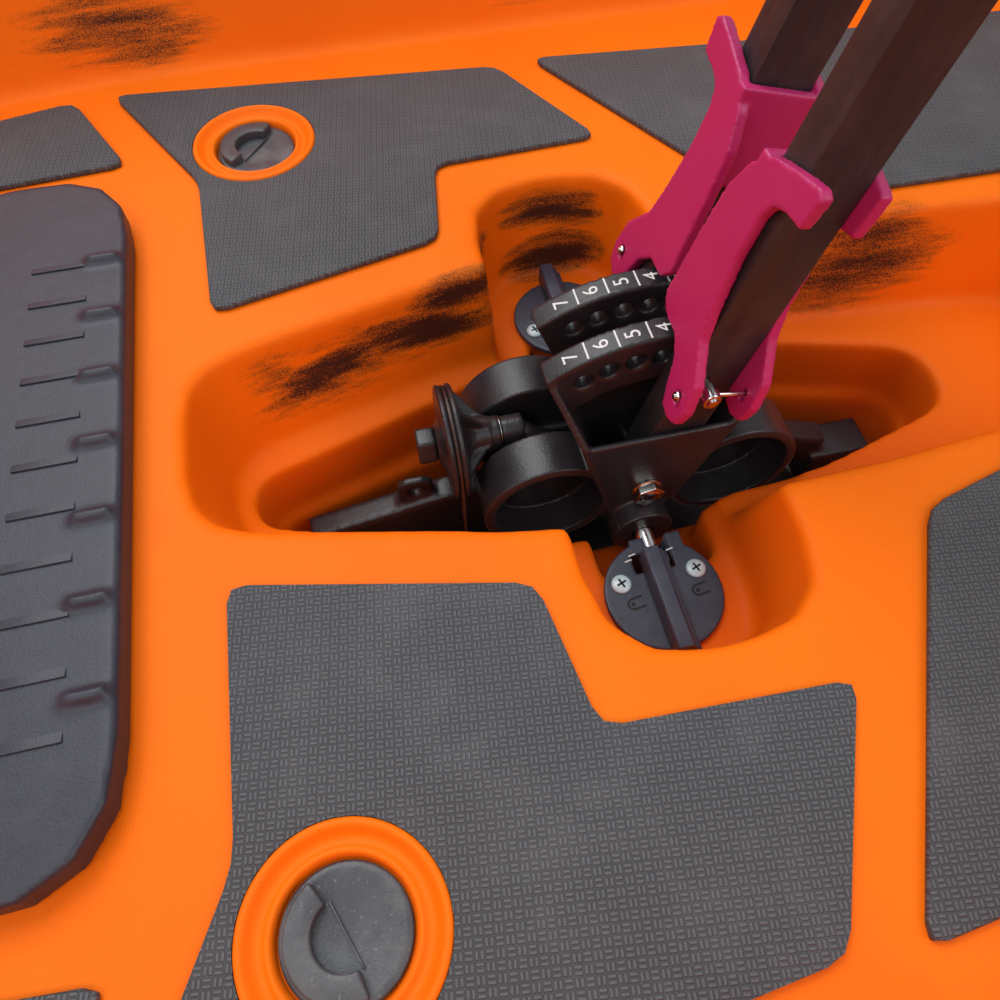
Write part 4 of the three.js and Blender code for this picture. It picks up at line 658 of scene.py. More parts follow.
# Each slice: its name, its two stations, its voxel, its rounds of smoothing and its triangles.
slices = [
    ("hull_middle", fine_aft, fine_fore, fine_voxel, 12, 118000),
    ("hull_bow", fine_fore - seam_overlap, None, coarse_voxel, 3, 32000),
    ("hull_stern", None, fine_aft + seam_overlap, coarse_voxel, 3, 42000),
]
joined = bmesh.new()
for name, low, high, voxel, rounds, target in slices:
    piece = remeshed(new_piece(name, closed_slice(low, high), hull_paint), voxel)
    relaxed(piece, rounds, keep=less_at_rings if name == "hull_middle" else None)
    thinned(outer_skin(piece, low, high), target)
    joined.from_mesh(piece.data)
    print(name, len(piece.data.polygons))
    bpy.data.objects.remove(piece)
moulding.free()
hull_shell = finish_piece(new_piece("hull_shell", joined, hull_paint), "hull", "drive_well")
print("hull_shell faces", len(hull_shell.data.polygons))

# %% [markdown]
# The foam pads on the deck are closed-cell sheets pressed with a small basket pattern:
# pairs of short dashes that turn a quarter from cell to cell. A group works that height
# out from the place on the pad, so the pattern keeps its real size and needs no picture.
# The foam is coloured lighter on the dashes and darker between them, as painted light and shade.

# %% Basket pattern and pad material
basket_cell = 0.0038
basket_turn = math.radians(8)
pad_depth = 0.0004

basket_group, basket_in, basket_out = new_group(
    "basket", [place_input, ("Cell", "Float", basket_cell)], ["Height"])
across, along = (maths("DIVIDE", axis_of(basket_in["Place"], axis), basket_in["Cell"]) for axis in "XY")
cell_sum = plus(maths("FLOOR", across), maths("FLOOR", along))
flip = maths("PINGPONG", cell_sum, 1.0)


def dash_height(long_way, short_way):
    """Two rounded dashes side by side in each cell."""
    across_dash = maths("PINGPONG", times(short_way, 2.0), 0.5)
    along_dash = maths("PINGPONG", long_way, 0.5)
    return times(ramp(across_dash, 0.06, 0.3), ramp(along_dash, 0.05, 0.17))


turned_height = added_node("Mix", {0: flip, 2: dash_height(across, along), 3: dash_height(along, across)})
feed(basket_out["Height"], turned_height)

pad_foam, shader, place = start_material("pad_foam", 0.66, specular=0.4)
basket = use_group(basket_group, Place=stretched(place, turn=basket_turn))["Height"]
# Lighter on the raised dashes and darker between them: painted light and shade that follow the pattern's
# height.
dusted(shader, place, 0.16, mixed(basket, linear(66, 69, 73), linear(87, 91, 95)), linear(122, 124, 128))
fine_pores = use_group(grain_group, Place=place, Fine=2200.0, Coarse=500.0)["Height"]
bumped(shader, plus(basket, times(fine_pores, 0.3)), pad_depth)
print("pad pattern cell", basket_cell)

# %% [markdown]
# The other hard finishes are simpler: black moulded plastics with some dust, a smooth
# magenta nylon, rubber, polished steel, and a brown-black anodised arm with faint drawing
# lines. A drawn line is noise that is stretched until it is a hair wide.

# %% Plastics and metals
black_plastic = moulded("black_plastic", (36, 34, 38), (86, 82, 84), 0.33, dust=0.15)
hatch_plastic = moulded("hatch_plastic", (42, 46, 58), (88, 92, 102), 0.45, dust=0.16)
base_plastic = moulded("base_plastic", (50, 55, 70), (104, 106, 116), 0.42, dust=0.2)
plug_rubber = moulded("plug_rubber", (66, 70, 75), (136, 140, 142), 0.36, dust=0.42)
magenta_nylon = moulded("magenta_nylon", (188, 36, 102), (200, 90, 136), 0.4, dust=0.06,
                        depth=0.00015, fine=1400, coarse=40)
fin_polymer = moulded("fin_polymer", (58, 60, 64), (96, 98, 100), 0.6, dust=0.15)
mark_paint = moulded("mark_paint", (226, 228, 226), (180, 180, 178), 0.6, dust=0.2)
# Near black: the lock plate's shackle marks, and the painted shade that stands for the screws' crosshead
# recesses.
engraving_and_recess_shade = moulded("engraving_and_recess_shade", (22, 21, 23), (44, 42, 42), 0.7, dust=0.1)
screw_zinc = moulded("screw_zinc", (186, 206, 210), (140, 152, 156), 0.28, dust=0.12,
                     depth=0.0001, specular=0.9)
cable_wire = moulded("cable_wire", (52, 34, 28), (120, 96, 84), 0.3, dust=0.3)

polish = 0.16
steel_tone = linear(214, 214, 212)
smudged_steel = tuple(c * 0.72 for c in steel_tone[:3]) + (1,)
steel_lines = (900, 900, 40)
steel_depth = 0.00008
bright_steel, shader, place = start_material("bright_steel", polish, metallic=1.0)
smudges = dusted(shader, place, 0.3, steel_tone, smudged_steel)
feed(shader.inputs["Roughness"], plus(polish, times(smudges, 0.3)))
bumped(shader, noise(stretched(place, steel_lines), 1.0, 3, 0.6), steel_depth)

arm_lines = (700, 700, 14)
arm_depth = 0.00006
arm_alloy, shader, place = start_material("arm_alloy", 0.42, metallic=0.12)
drawn = noise(stretched(place, arm_lines), 1.0, 2, 0.6)
dusted(shader, place, 0.22, mixed(drawn, linear(41, 38, 41), linear(53, 49, 52)), linear(104, 92, 88))
bumped(shader, drawn, arm_depth)
print("materials", len(bpy.data.materials))

# %% [markdown]
# The seat's cloth is a plain weave. In each cell either the warp or the weft is on top, as
# on a chequerboard, and the thread on top bulges between its neighbours. The cells run
# over X and Z added together, so that they cover the seat and the back alike.

# %% Seat cloth
thread_width = 0.0018
cloth_depth = 0.0009
cloth_sheen = 0.35

weave_group, weave_in, weave_out = new_group(
    "weave", [place_input, ("Thread", "Float", 0.0016)], ["Height", "Shade"])
along_x, along_y, along_z = (axis_of(weave_in["Place"], axis) for axis in "XYZ")
warp = maths("DIVIDE", plus(along_x, along_z), weave_in["Thread"])
weft = maths("DIVIDE", along_y, weave_in["Thread"])
thread_sum = plus(maths("FLOOR", warp), maths("FLOOR", weft))
over_under = maths("PINGPONG", thread_sum, 1.0)
warp_height = times(maths("PINGPONG", warp, 0.5), over_under)
weft_height = times(maths("PINGPONG", weft, 0.5), maths("SUBTRACT", 1.0, over_under))
feed(weave_out["Height"], plus(warp_height, weft_height))
feed(weave_out["Shade"], over_under)

seat_cloth, shader, place = start_material("seat_cloth", 0.9, specular=0.2)
shader.inputs["Sheen Weight"].default_value = cloth_sheen
woven = use_group(weave_group, Place=place, Thread=thread_width)
dusted(shader, place, 0.15, mixed(woven["Shade"], linear(52, 53, 58), linear(72, 73, 79)),
       linear(112, 110, 106))
bumped(shader, woven["Height"], cloth_depth)
print("weave thread", thread_width)

# %% [markdown]
# Two ways of dressing a mechanical part cover most of the drive. A pressed or cut part
# keeps its flat faces and only gets small rounded edges, from a bevel. A moulded part has
# fillets everywhere, so it is remeshed finely and relaxed, as the hull is. The pads are cut
# sheets, so they are the first to be edged.

# %% Edged and softened parts, and the deck pads
crisp_edge = 38


def edged(node, material, width=0.0006, segments=2, corner=30):
    """The node's shape with rounded edges and crisp flats."""
    piece = new_piece(node + "_edged", merged_copy(node, dissolve=1.0), material)
    step = piece.modifiers.new("edges", "BEVEL")
    step.width = width
    step.segments = segments
    step.limit_method = "ANGLE"
    step.angle_limit = math.radians(corner)
    return crisp(finish_piece(baked(piece), node), crisp_edge)


def softened(node, material, voxel, rounds, target=40000):
    """The node's shape with moulded fillets."""
    piece = remeshed(new_piece(node + "_moulded", merged_copy(node), material), voxel)
    return finish_piece(thinned(relaxed(piece, rounds), target), node)


pad_names = [f"{pad}_{side}" for pad in ("deck_pad", "rear_pad", "front_pad") for side in sides]
for pad_name in pad_names:
    edged(pad_name, pad_foam, width=0.0012, segments=3, corner=50)
print("pads", len(pad_names))

# %% [markdown]
# Small turned and cut parts are built new, since their solids are too coarse to look at
# closely. A round one is a line of points spun about its axis, and the others are blocks,
# hexagons and flat outlines pulled up into solids, with their sharp edges bevelled.

# %% Small part helpers
round_steps = 48


def spun(profile, steps=round_steps):
    """Spins a line of (radius, height) points about the Z axis and closes the seam."""
    work = bmesh.new()
    corners = [work.verts.new((radius, 0, height)) for radius, height in profile]
    edges = [work.edges.new(pair) for pair in zip(corners, corners[1:])]
    bmesh.ops.spin(work, geom=corners + edges, cent=(0, 0, 0), axis=(0, 0, 1), dvec=(0, 0, 0),
                   angle=2 * math.pi, steps=steps, use_merge=True, use_duplicate=False)
    bmesh.ops.remove_doubles(work, verts=work.verts, dist=weld_reach / 4)
    return outwards(work)


def spun_arc(inner, outer, low, high, sweep, steps=24):
    """A closed bar of rectangular section bent round the Z axis."""
    work = bmesh.new()
    section = ((inner, 0, low), (outer, 0, low), (outer, 0, high), (inner, 0, high))
    face = work.faces.new([work.verts.new(corner) for corner in section])
    bmesh.ops.spin(work, geom=[face, *face.edges, *face.verts], cent=(0, 0, 0), axis=(0, 0, 1),
                   dvec=(0, 0, 0), angle=sweep, steps=steps, use_duplicate=False)
    return outwards(work)


def raised(work, height):
    """Pulls a flat face up into a closed solid."""
    moving = bmesh.ops.extrude_face_region(work, geom=list(work.faces))["geom"]
    corners = [g for g in moving if isinstance(g, bmesh.types.BMVert)]
    bmesh.ops.translate(work, verts=corners, vec=(0, 0, height))
    return outwards(work)


def outline_solid(corners, low, high):
    """A closed solid over an outline of (x, y) corners."""
    work = bmesh.new()
    work.faces.new([work.verts.new((x, y, low)) for x, y in corners])
    return raised(work, high - low)


def hexagon(radius, height):
    """A nut or a bolt's head."""
    work = bmesh.new()
    bmesh.ops.create_circle(work, cap_ends=True, radius=radius, segments=6)
    return raised(work, height)


def block(size, place=(0, 0, 0)):
    """A block of a size about a place."""
    work = bmesh.new()
    bmesh.ops.create_cube(work, size=1, matrix=Matrix.Translation(place) @ Matrix.Diagonal((*size, 1)))
    return work


def with_bevel(work, width, segments=2, corner=35):
    """Rounds the sharp edges of a bmesh."""
    edges = [edge for edge in work.edges
             if edge.is_manifold and edge.calc_face_angle(0) > math.radians(corner)]
    bmesh.ops.bevel(work, geom=edges, offset=width, offset_type="OFFSET", segments=segments,
                    profile=0.5, affect="EDGES", clamp_overlap=True, material=-1)
    return work


def moved(work, matrix):
    """Moves every corner of a bmesh."""
    bmesh.ops.transform(work, matrix=matrix, verts=work.verts)
    return work


def appended(work, other):
    """Adds another bmesh to this one and frees it."""
    spare = bpy.data.meshes.new("spare")
    other.to_mesh(spare)
    other.free()
    work.from_mesh(spare)
    bpy.data.meshes.remove(spare)
    return work


def middle_of(node):
    """The middle of a node's box, and its lowest and highest corners."""
    low, high = (Vector(corner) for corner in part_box(node))
    return (low + high) / 2, low, high


def shifted(x, y, z=0):
    """A move along the three axes."""
    return Matrix.Translation((x, y, z))


def turned_by(degrees, axis):
    """A turn about an axis."""
    return Matrix.Rotation(math.radians(degrees), 4, axis)


# %% [markdown]
# Each drain is closed by a rubber plug: a shallow dished disc with a raised C for the
# fingers, and a straight ridge from one end of the C to the other. The disc and its shank
# are spun round the axis, and the C is a small rectangle spun part of the way. The ring
# moulded round the plug is spun too, so that its two lips are truly round.

# %% Scupper plugs and drain rings
grip_outer = 0.0225
grip_inner = 0.0124
grip_height = 0.0056
grip_sweep = 167
disc_rise = 0.0055
shank_length = 0.030
shank_radius = 0.0122
grip_turns = {"port": 22, "starboard": -38}
ring_steps = 96

# The plug's dished disc, from its middle to its edge: (share of its radius, depth below its top).
disc_profile = [(0, 0.0012), (0.70, 0.0011), (0.86, 0.0003), (0.96, 0.0002), (0.99, 0.0007),
                (1, 0.0014), (1, 0.005)]
# The lips of the ring: (radius, height).
ring_profile = [
    (0.0395, 0.1950), (0.0396, 0.1988), (0.0391, 0.2000), (0.0381, 0.2007), (0.0370, 0.2007),
    (0.0359, 0.1999), (0.0346, 0.1983), (0.0331, 0.1967), (0.0316, 0.1959), (0.0303, 0.1961),
    (0.0291, 0.1972), (0.0281, 0.1979), (0.0271, 0.1975), (0.0263, 0.1962), (0.0258, 0.1942),
    (0.0256, 0.1915),
]


def make_plug(side):
    middle, low, high = middle_of(f"scupper_plug_{side}")
    radius = (high.x - low.x) / 2
    top = low.z + shank_length + disc_rise
    profile = [(radius * share, top - depth) for share, depth in disc_profile]
    profile += [(shank_radius, top - 0.005), (0.0118, low.z + 0.002), (0.0105, low.z), (0, low.z)]
    disc = spun(profile)
    grip_low, grip_high = top - 0.0025, top + grip_height - 0.0012
    grip = spun_arc(grip_inner, grip_outer, grip_low, grip_high, math.radians(grip_sweep))
    with_bevel(grip, 0.0011, 3)
    moved(grip, turned_by(grip_turns[side] - grip_sweep / 2, "Z"))
    ridge = block((0.0009, grip_inner * 2.1, 0.0026))
    moved(ridge, shifted(0, 0, top - 0.001) @ turned_by(grip_turns[side], "Z"))
    with_bevel(ridge, 0.0003, 2)
    appended(appended(disc, grip), ridge)
    moved(disc, shifted(middle.x, middle.y))
    crisp(finish_piece(new_piece(f"plug_{side}", disc, plug_rubber), f"scupper_plug_{side}"), 40)


for side in sides:
    make_plug(side)
for side in sides:
    ring = moved(spun(ring_profile, ring_steps), shifted(plug_place[0], plug_place[1] * sides[side]))
    added(f"drain_ring_{side}", ring, hull_paint, "hull_body", smooth=True)
print("plugs and rings made")

# %% [markdown]
# The drive's moulded parts are the two crank brackets with their cable drums, the spine,
# the pedals and the two magenta levers, each with its own fineness. Voxels leave faint
# flats on a cylinder, so the corners near a drum, a hub or the rim are moved onto it.

# %% Moulded drive parts
drive_x = 0.380
shaft_place = (drive_x - 0.014, 0, 0.110)
arm_pivot = (-0.002, 0, 0.028)
crank_turns = {"port": 0.0, "starboard": -2.2}
rim_radius = 0.102
drum_radii = (0.039, 0.033)
drum_places = ((0.053, 0.018), (-0.059, 0.018))
hub_radius = 0.0185
snap_reach = 0.0006
snap_facing = 0.8

crank_cylinders = [(*drum_place, radius) for drum_place in drum_places for radius in drum_radii]
crank_cylinders += [(0, 0, hub_radius), (arm_pivot[0], arm_pivot[2], rim_radius)]


def from_shaft(side):
    """From the frame of a crank, which lies on its shaft, to the kayak's."""
    return Matrix.Translation(shaft_place) @ turned_by(crank_turns[side], "Y")


def trued(piece, side, cylinders):
    """Moves the corners that lie near a cylinder of a crank onto it, so that no flats show."""
    to_crank = from_shaft(side).inverted()
    turn_only = to_crank.to_3x3()
    work = bmesh.new()
    work.from_mesh(piece.data)
    for vertex in work.verts:
        place_here = to_crank @ vertex.co
        normal_here = turn_only @ vertex.normal
        for across, up, radius in cylinders:
            out = Vector((place_here.x - across, 0, place_here.z - up))
            if abs(out.length - radius) < snap_reach and abs(normal_here.dot(out.normalized())) > snap_facing:
                place_here += out * (radius / out.length - 1)
                vertex.co = from_shaft(side) @ place_here
                break
    work.to_mesh(piece.data)
    work.free()
    return piece


for side in sides:
    trued(softened(f"crank_bracket_{side}", black_plastic, 0.0011, 3, 90000), side, crank_cylinders)
    softened(f"adjust_lever_{side}", magenta_nylon, 0.0009, 7)
    edged(f"crank_arm_{side}", arm_alloy, 0.0012, 3)
    softened(f"pedal_{side}", black_plastic, 0.0022, 3, 24000)
softened("drive_spine", black_plastic, 0.0018, 4, 50000)
edged("drive_shaft", bright_steel, 0.0008, 3, 50)
edged("idler_cable", cable_wire, 0.0002, 1, 60)
print("drive moulded")

# %% [markdown]
# The numbers on the rim tell which hole the arm is in. They are plain digits with a bar
# between each two, painted white on the black rim. The third hole holds the arm at rest.

# %% Rim numbers and bars
arm_lean = -12.3
mark_radius = 0.1021
rim_middle = 0.017
hole_step = 8.9
third_hole = arm_lean + math.degrees(math.atan2(0.004, 0.088))
digits = range(1, 8)
digit_size = 0.011
bar_length = 0.0105
bar_width = 0.0009
mark_thick = 0.0001
rim_axes = Matrix(((0, 1, 0, 0), (-1, 0, 0, 0), (0, 0, 1, 0), (0, 0, 0, 1)))


def crank_frame(side):
    """From the arm pivot's frame on a crank to the kayak's."""
    return from_shaft(side) @ Matrix.Translation(arm_pivot)


def on_rim(side, digit):
    """A frame on the rim: X to starboard, Y along the rim to the bow, Z outwards."""
    angle = third_hole + (digit - 3) * hole_step
    on_surface = shifted(0, rim_middle * sides[side], mark_radius)
    return crank_frame(side) @ turned_by(angle, "Y") @ on_surface @ rim_axes


def make_rim_marks(side):
    marks = bmesh.new()
    for digit in digits:
        letter = bpy.data.curves.new("digit", "FONT")
        letter.body = str(digit)
        letter.size = digit_size
        letter.align_x = "CENTER"
        letter.align_y = "CENTER"
        letter.extrude = mark_thick
        letter_object = shown("digit", letter)
        bpy.context.view_layer.update()
        shape = bpy.data.meshes.new_from_object(
            letter_object.evaluated_get(bpy.context.evaluated_depsgraph_get()))
        shape.transform(on_rim(side, digit))
        marks.from_mesh(shape)
        bpy.data.objects.remove(letter_object)
        bpy.data.meshes.remove(shape)
    for digit in digits[:-1]:
        appended(marks, moved(block((bar_length, bar_width, mark_thick * 2)), on_rim(side, digit + 0.5)))
    added(f"rim_numbers_{side}", marks, mark_paint, f"crank_{side}")


for side in sides:
    make_rim_marks(side)
print("rim numbers on both cranks")

# %% [markdown]
# The idler carries the cable that ties the two cranks together. It is a rounded double rim,
# and behind it a hollow cone on five webs, so it is spun, given its webs, and softened as
# one moulding. It turns on a bolt whose nut stands proud of it.

# %% Idler and its bolt
idler_place = (drive_x, 0, 0.155)
idler_webs = 5
web_half = 0.0013
web_start = 0.15
idler_voxel = 0.0008
nut_size = (0.0112, 0.0106)
nut_station = 0.0973
along_hull = turned_by(90, "Y")

# As (radius, station), and the web as (station, radius).
idler_profile = [
    (0.0053, 0.0603), (0.0094, 0.0603), (0.0100, 0.0609), (0.0100, 0.0655), (0.0108, 0.0664),
    (0.0110, 0.0700), (0.0116, 0.0745), (0.0135, 0.0785), (0.0180, 0.0812), (0.0270, 0.0826),
    (0.0308, 0.0830), (0.0324, 0.0838), (0.0329, 0.0850), (0.0322, 0.0863), (0.0300, 0.0872),
    (0.0293, 0.0880), (0.0300, 0.0888), (0.0322, 0.0897), (0.0329, 0.0910), (0.0324, 0.0922),
    (0.0308, 0.0929), (0.0240, 0.0932), (0.0165, 0.0938), (0.0125, 0.0952), (0.0108, 0.0968),
    (0.0053, 0.0970), (0.0053, 0.0603),
]
idler_web = [(0.0640, 0.0085), (0.0834, 0.0085), (0.0834, 0.0292), (0.0815, 0.0285),
             (0.0760, 0.0205), (0.0700, 0.0128), (0.0655, 0.0104)]
idler_shank = [(0, 0.048), (0.0049, 0.048), (0.0049, 0.0985), (0, 0.0985)]
idler_washer = [(0.0055, 0.0598), (0.0098, 0.0598), (0.0101, 0.0600), (0.0098, 0.0603),
                (0.0055, 0.0603), (0.0055, 0.0598)]

wheel = moved(spun(idler_profile, 72), along_hull)
for i in range(idler_webs):
    web = outline_solid(idler_web, -web_half, web_half)
    appended(wheel, moved(web, turned_by(360 * (i + web_start) / idler_webs, "X")))
moved(wheel, Matrix.Translation(idler_place))
idler = remeshed(new_piece("idler_pulley_moulded", wheel, black_plastic), idler_voxel)
finish_piece(thinned(relaxed(idler, 4), 50000), "idler_pulley")

nut = moved(with_bevel(hexagon(*nut_size), 0.0016, 4), shifted(0, 0, nut_station))
appended(nut, spun(idler_shank, 24))
moved(nut, Matrix.Translation(idler_place) @ along_hull)
crisp(finish_piece(new_piece("idler_bolt_edged", nut, black_plastic), "idler_bolt"), 35)
washer = moved(spun(idler_washer, 40), Matrix.Translation(idler_place) @ along_hull)
added("idler_washer", washer, bright_steel, "hull_body", smooth=True)
print("idler made")

# %% [markdown]
# Bolts and pins are small but bright, so they catch the eye first. Each is spun or extruded
# with true rounded corners, because a sharp chrome edge never shows a highlight.

# %% Pivot bolts and pull pins
bolt_seat = 0.0463
head_size = (0.0091, 0.0062)
head_round = 0.0007
pin_hole = (0.004, 0, 0.088)
rod_reach = 0.050
rivet_reach = 0.0216

# The bolt's dome, washer and shank, each with its steps: (radius, height above its seat).
bolt_profiles = [
    ([(0, 0.0072), (0.0045, 0.0069), (0.0068, 0.0062), (0.0074, 0.0055)], 32),
    ([(0, 0.0012), (0.0086, 0.0012), (0.0091, 0.0007), (0.0091, 0), (0, 0)], 32),
    ([(0, 0.001), (0.005, 0.001), (0.005, -0.036), (0, -0.036)], 24),
]
pin_profile = [(0, 0.0243), (0.0028, 0.0243), (0.0034, 0.0250), (0.0034, 0.0455), (0.0046, 0.0460),
               (0.0048, 0.0540), (0.0044, 0.0548), (0.0030, 0.0550), (0.0026, 0.0562), (0, 0.0566)]
rod_profile = [(0, -0.0232), (0.0011, -0.0232), (0.0014, -0.0229), (0.0014, 0.0229),
               (0.0011, 0.0232), (0, 0.0232)]
rivet_profile = [(0, 0.0008), (0.0022, 0.0006), (0.0026, 0), (0, 0)]


def arm_frame(side):
    """From the arm's frame, Z up along the arm, to the kayak's."""
    return crank_frame(side) @ turned_by(arm_lean, "Y")


def facing(side):
    """Turns a shape drawn along +Z so that it points outboard."""
    return turned_by(-90 * sides[side], "X")


def make_pivot_bolt(side):
    bolt = with_bevel(hexagon(*head_size), head_round, 3)
    for profile, steps in bolt_profiles:
        appended(bolt, spun(profile, steps))
    moved(bolt, arm_frame(side) @ shifted(0, bolt_seat * sides[side]) @ facing(side))
    crisp(finish_piece(new_piece(f"pivot_bolt_{side}", bolt, bright_steel), f"arm_pivot_bolt_{side}"), 35)


def make_pull_pin(side):
    pin = moved(spun(pin_profile, 32), Matrix.Translation(pin_hole) @ facing(side))
    rod_station = rod_reach * sides[side]
    appended(pin, moved(spun(rod_profile, 20), shifted(0, rod_station, pin_hole[2]) @ turned_by(90, "Y")))
    for end in (-1, 1):
        rivet = spun(rivet_profile, 20)
        moved(rivet, shifted(end * rivet_reach, rod_station, pin_hole[2]) @ turned_by(end * 90, "Y"))
        appended(pin, rivet)
    moved(pin, arm_frame(side))
    crisp(finish_piece(new_piece(f"pin_{side}", pin, bright_steel), f"pull_pin_{side}"), 35)


for side in sides:
    make_pivot_bolt(side)
    make_pull_pin(side)
print("bolts and pins made")

# %% [markdown]
# Beside the shaft's end sits a round lock plate, and a bar on it turns to hold the shaft
# down. The bar's top slopes in two faces, so one side looks light and the other dark. Small
# engraved shackle marks show which way is shut.

# %% Lock levers
lock_place = (drive_x - 0.0085, 0.105)
lever_low = 0.1263
lever_rise = 0.0137
lever_inner = 0.0825
lever_outer = 0.1415
lever_half = 0.0075
nose_place = (drive_x - 0.014, 0.0853, 0.1216)
nose_size = (0.008, 0.0052, 0.0103)
along_bar = Matrix(((1, 0, 0, 0), (0, 0, 1, 0), (0, 1, 0, 0), (0, 0, 0, 1)))

# A section across the bar, as shares of its half width and of its rise.
lever_section = [(-1, 0), (1, 0), (1, 0.92), (0.86, 1), (-0.12, 1), (-0.2, 0.93), (-0.45, 0.6),
                 (-0.62, 0.6), (-0.75, 0.3), (-1, 0.28)]


def make_lock_lever(side):
    section = [(lever_half * across, lever_rise * up) for across, up in lever_section]
    bar = with_bevel(outline_solid(section, lever_inner, lever_outer), 0.0005, 3, 20)
    outwards(moved(bar, shifted(lock_place[0], 0, lever_low) @ along_bar))
    appended(bar, with_bevel(block(nose_size, nose_place), 0.0006, 2))
    outwards(moved(bar, Matrix.Diagonal((1, sides[side], 1, 1))))
    crisp(finish_piece(new_piece(f"lock_bar_{side}", bar, base_plastic), f"lock_lever_{side}"), 30)


# %% [markdown]
# The marks on the plate are half rings with two legs and a dot, a hair above the plastic,
# and three short painted ticks beside the shaft.

# %% Lock marks
plate_top = 0.126
mark_rise = 0.00015
shackle_radii = (0.0024, 0.0036)
shackle_reach = 0.0185
leg_size = (0.0012, 0.0062, mark_rise)
leg_place = (0.003, -0.0030, mark_rise / 2)
dot_radius = 0.0012
tick_size = (0.0008, 0.0042, 0.0001)
tick_spreads = ((1, 0.0135), (1, 0.0105), (-1, 0.0115))


def make_shackle():
    shackle = spun_arc(*shackle_radii, 0, mark_rise, math.pi, 12)
    for leg in (-1, 1):
        appended(shackle, block(leg_size, (leg * leg_place[0], *leg_place[1:])))
    dot = bmesh.new()
    bmesh.ops.create_circle(dot, cap_ends=True, radius=dot_radius, segments=14,
                            matrix=shifted(0, 0.0002, mark_rise))
    return appended(shackle, dot)


def make_lock_marks(side):
    marks = bmesh.new()
    for end in (-1, 1):
        shackle_x = lock_place[0] + end * shackle_reach
        shackle_y = (lock_place[1] + 0.003) * sides[side]
        appended(marks, moved(make_shackle(), shifted(shackle_x, shackle_y, plate_top) @ turned_by(-82, "Z")))
    added(f"lock_marks_{side}", marks, engraving_and_recess_shade, "hull_body")
    ticks = bmesh.new()
    for end, spread in tick_spreads:
        tick_y = (0.0795 + (spread - 0.0105)) * sides[side]
        place_here = shifted(lock_place[0] + end * spread, tick_y, plate_top + 0.00005)
        appended(ticks, moved(block(tick_size), place_here @ turned_by(-80 * sides[side], "Z")))
    added(f"lock_ticks_{side}", ticks, mark_paint, "hull_body")


# %% [markdown]
# Each plate is held by two screws with a low domed head. The crosshead recess lies in shade,
# so two thin dark bars on the dome stand for it as painted shade.

# %% Lock screws
screw_shank = 0.0026
recess_shade_size = (0.0058, 0.0011, 0.0002)
recess_shade_turn = 20

# The head, from its middle to its edge: (radius, depth below its top).
head_profile = [(0, 0.0001), (0.0030, 0.0002), (0.0048, 0.0007), (0.0055, 0.0013), (0.0056, 0.0019),
                (screw_shank, 0.002)]


def make_screw(node):
    middle, low, high = middle_of(node)
    profile = [(radius, high.z - depth) for radius, depth in head_profile]
    screw = moved(spun(profile + [(screw_shank, low.z), (0, low.z)], 36), shifted(middle.x, middle.y))
    crisp(finish_piece(new_piece(node + "_spun", screw, screw_zinc), node), 40)
    # Two thin dark bars on the head: painted shade where the crosshead recess lies.
    recess_shade = bmesh.new()
    for turn in (0, 90):
        appended(recess_shade, moved(block(recess_shade_size), turned_by(turn + recess_shade_turn, "Z")))
    moved(recess_shade, shifted(middle.x, middle.y, high.z - 0.0001))
    added(node + "_recess_shade", recess_shade, engraving_and_recess_shade, "hull_body")


for side in sides:
    softened(f"lock_base_{side}", base_plastic, 0.0008, 2)
    make_lock_lever(side)
    make_lock_marks(side)
    make_screw(f"lock_screw_fore_{side}")
    make_screw(f"lock_screw_aft_{side}")
print("locks made")

# %% [markdown]
# The bow hatch is a big black lid. Its rim is stiffened by wedges that step along it like
# shallow stairs, and the rear edge with them runs down the left of the photograph.

# %% Bow hatch
lid_low, lid_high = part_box("bow_hatch_lid")
wedge_step = 0.0265
wedge_count = 11
wedge_inset = 0.020
wedge_level = 0.2045 + 0.0065
wedge_size = (0.030, wedge_step * 0.9, 0.0062)
wedge_drop = -0.4

softened("bow_hatch_lid", hatch_plastic, 0.0021, 4, 90000)
edged("bow_hatch_gasket", plug_rubber, 0.0008, 2, 50)
edged("bow_hatch_hinge_pin", bright_steel, 0.0006, 2, 50)
softened("bow_hatch_knob", black_plastic, 0.0012, 4, 24000)

wedges = bmesh.new()
for i in range(wedge_count):
    wedge = block((1, 1, 1))
    for corner in wedge.verts:
        if corner.co.z > 0 and corner.co.y < 0:
            corner.co.z = wedge_drop
    y = (i - (wedge_count - 1) / 2) * wedge_step
    moved(wedge, shifted(lid_low[0] + wedge_inset + wedge_size[0] / 2, y, wedge_level)
          @ Matrix.Diagonal((*wedge_size, 1)))
    appended(wedges, with_bevel(wedge, 0.0008, 2))
added("hatch_rim_wedges", wedges, hatch_plastic, "bow_hatch", smooth=True)
print("lid top", round(lid_high[2], 4))

# %% [markdown]
# Fins, rudder, handles and rails stand outside the photograph's frame but not outside the
# object, so they get the same edges and finishes as the parts of their kind within it.

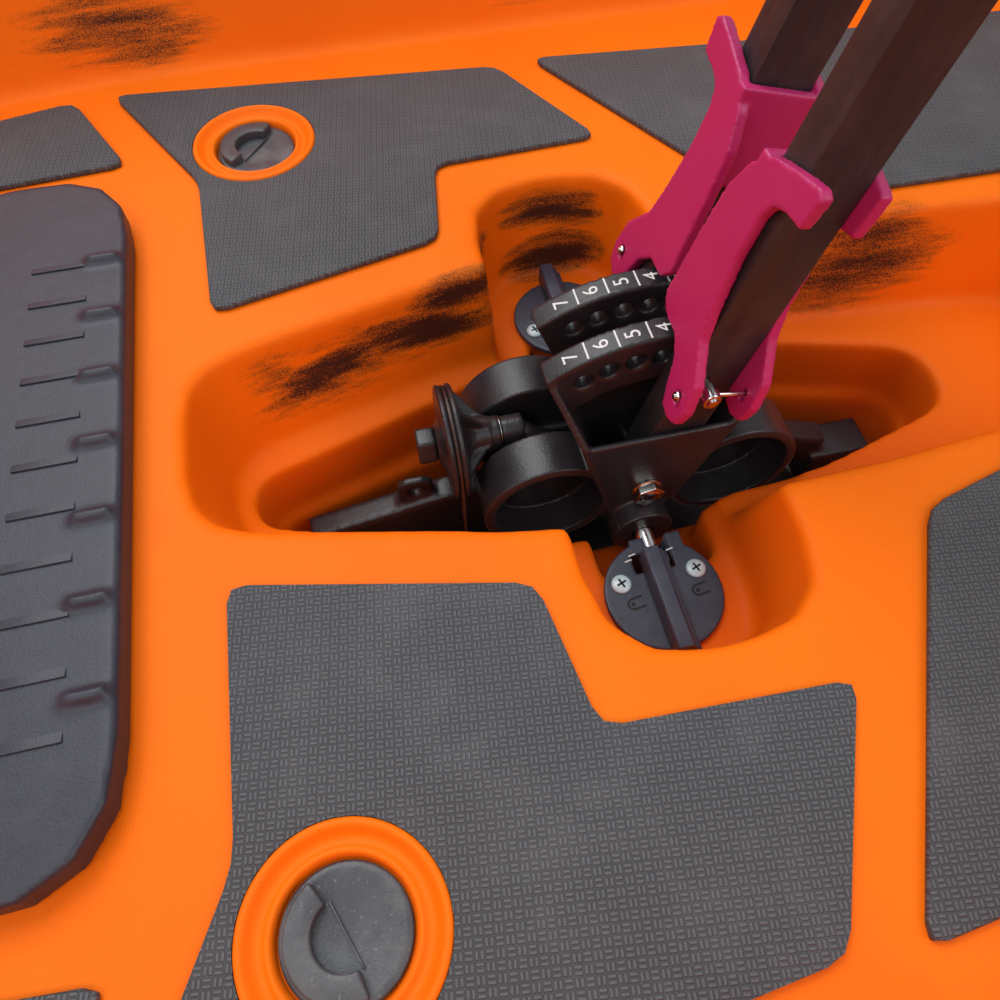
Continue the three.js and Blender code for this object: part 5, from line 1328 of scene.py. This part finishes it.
# %% Fins, rudder, handles and rails
for end in ("front", "rear"):
    softened(f"fin_{end}", fin_polymer, 0.0020, 5)
    edged(f"fin_mast_{end}", bright_steel, 0.0006, 2, 50)
softened("rudder_blade", fin_polymer, 0.0016, 5, 24000)
softened("rudder_bracket", black_plastic, 0.0014, 3, 24000)
softened("rudder_head", black_plastic, 0.0014, 3, 24000)
edged("rudder_pin", bright_steel, 0.0008, 2, 50)
softened("steering_base", black_plastic, 0.0012, 3, 12000)
softened("steering_handle", black_plastic, 0.0014, 4, 16000)
for handle in ("bow_handle", "stern_handle", "side_handle_port", "side_handle_starboard"):
    softened(handle, black_plastic, 0.0018, 5, 12000)
for side in sides:
    edged(f"accessory_rail_{side}", arm_alloy, 0.0008, 2, 40)
softened("rear_hatch_lid", hatch_plastic, 0.0016, 4)
print("fins, rudder, handles and rails made")

# %% [markdown]
# The seat is a tube frame with a sewn cushion on it and another up its back. Cloth with a
# little air pressure inside takes the crowned, pulled-in shape that sewn foam has.

# %% Seat
cushion_voxel = 0.0065
cushion_pressure = 3.0
cushion_frames = 14
cushion_swell = 0.004
cushion_shrink = 0.003
cloth_values = {"use_pressure": True, "uniform_pressure_force": cushion_pressure, "quality": 4,
                "tension_stiffness": 12, "bending_stiffness": 1.5}


def swollen(piece):
    """Lets cloth swell a slightly shrunken cushion, and caps how far each corner moves."""
    start = [vertex.co.copy() for vertex in piece.data.vertices]
    for vertex in piece.data.vertices:
        vertex.co -= vertex.normal * cushion_shrink
    cloth = piece.modifiers.new("pressure", "CLOTH")
    for key, value in cloth_values.items():
        setattr(cloth.settings, key, value)
    cloth.settings.effector_weights.gravity = 0
    cloth.point_cache.frame_end = cushion_frames
    for number in range(1, cushion_frames + 1):
        bpy.context.scene.frame_set(number)
    baked(piece)
    bpy.context.scene.frame_set(1)
    for vertex, home in zip(piece.data.vertices, start):
        shift = vertex.co - home
        if shift.length > cushion_swell:
            vertex.co = home + shift * (cushion_swell / shift.length)


def make_cushion(node):
    piece = new_piece(node + "_sewn", merged_copy(node), seat_cloth)
    relaxed(remeshed(piece, cushion_voxel), 4)
    swollen(piece)
    relaxed(piece, 2, 0.4)
    step = piece.modifiers.new("smooth", "SUBSURF")
    step.levels = 1
    step.render_levels = 1
    baked(piece)
    finish_piece(piece, node)
    print(node, "faces", len(piece.data.polygons))


make_cushion("seat_cushion")
make_cushion("seat_back_cushion")
softened("seat_frame", arm_alloy, 0.0032, 2, 60000)
softened("seat_back_frame", arm_alloy, 0.0030, 2, 50000)
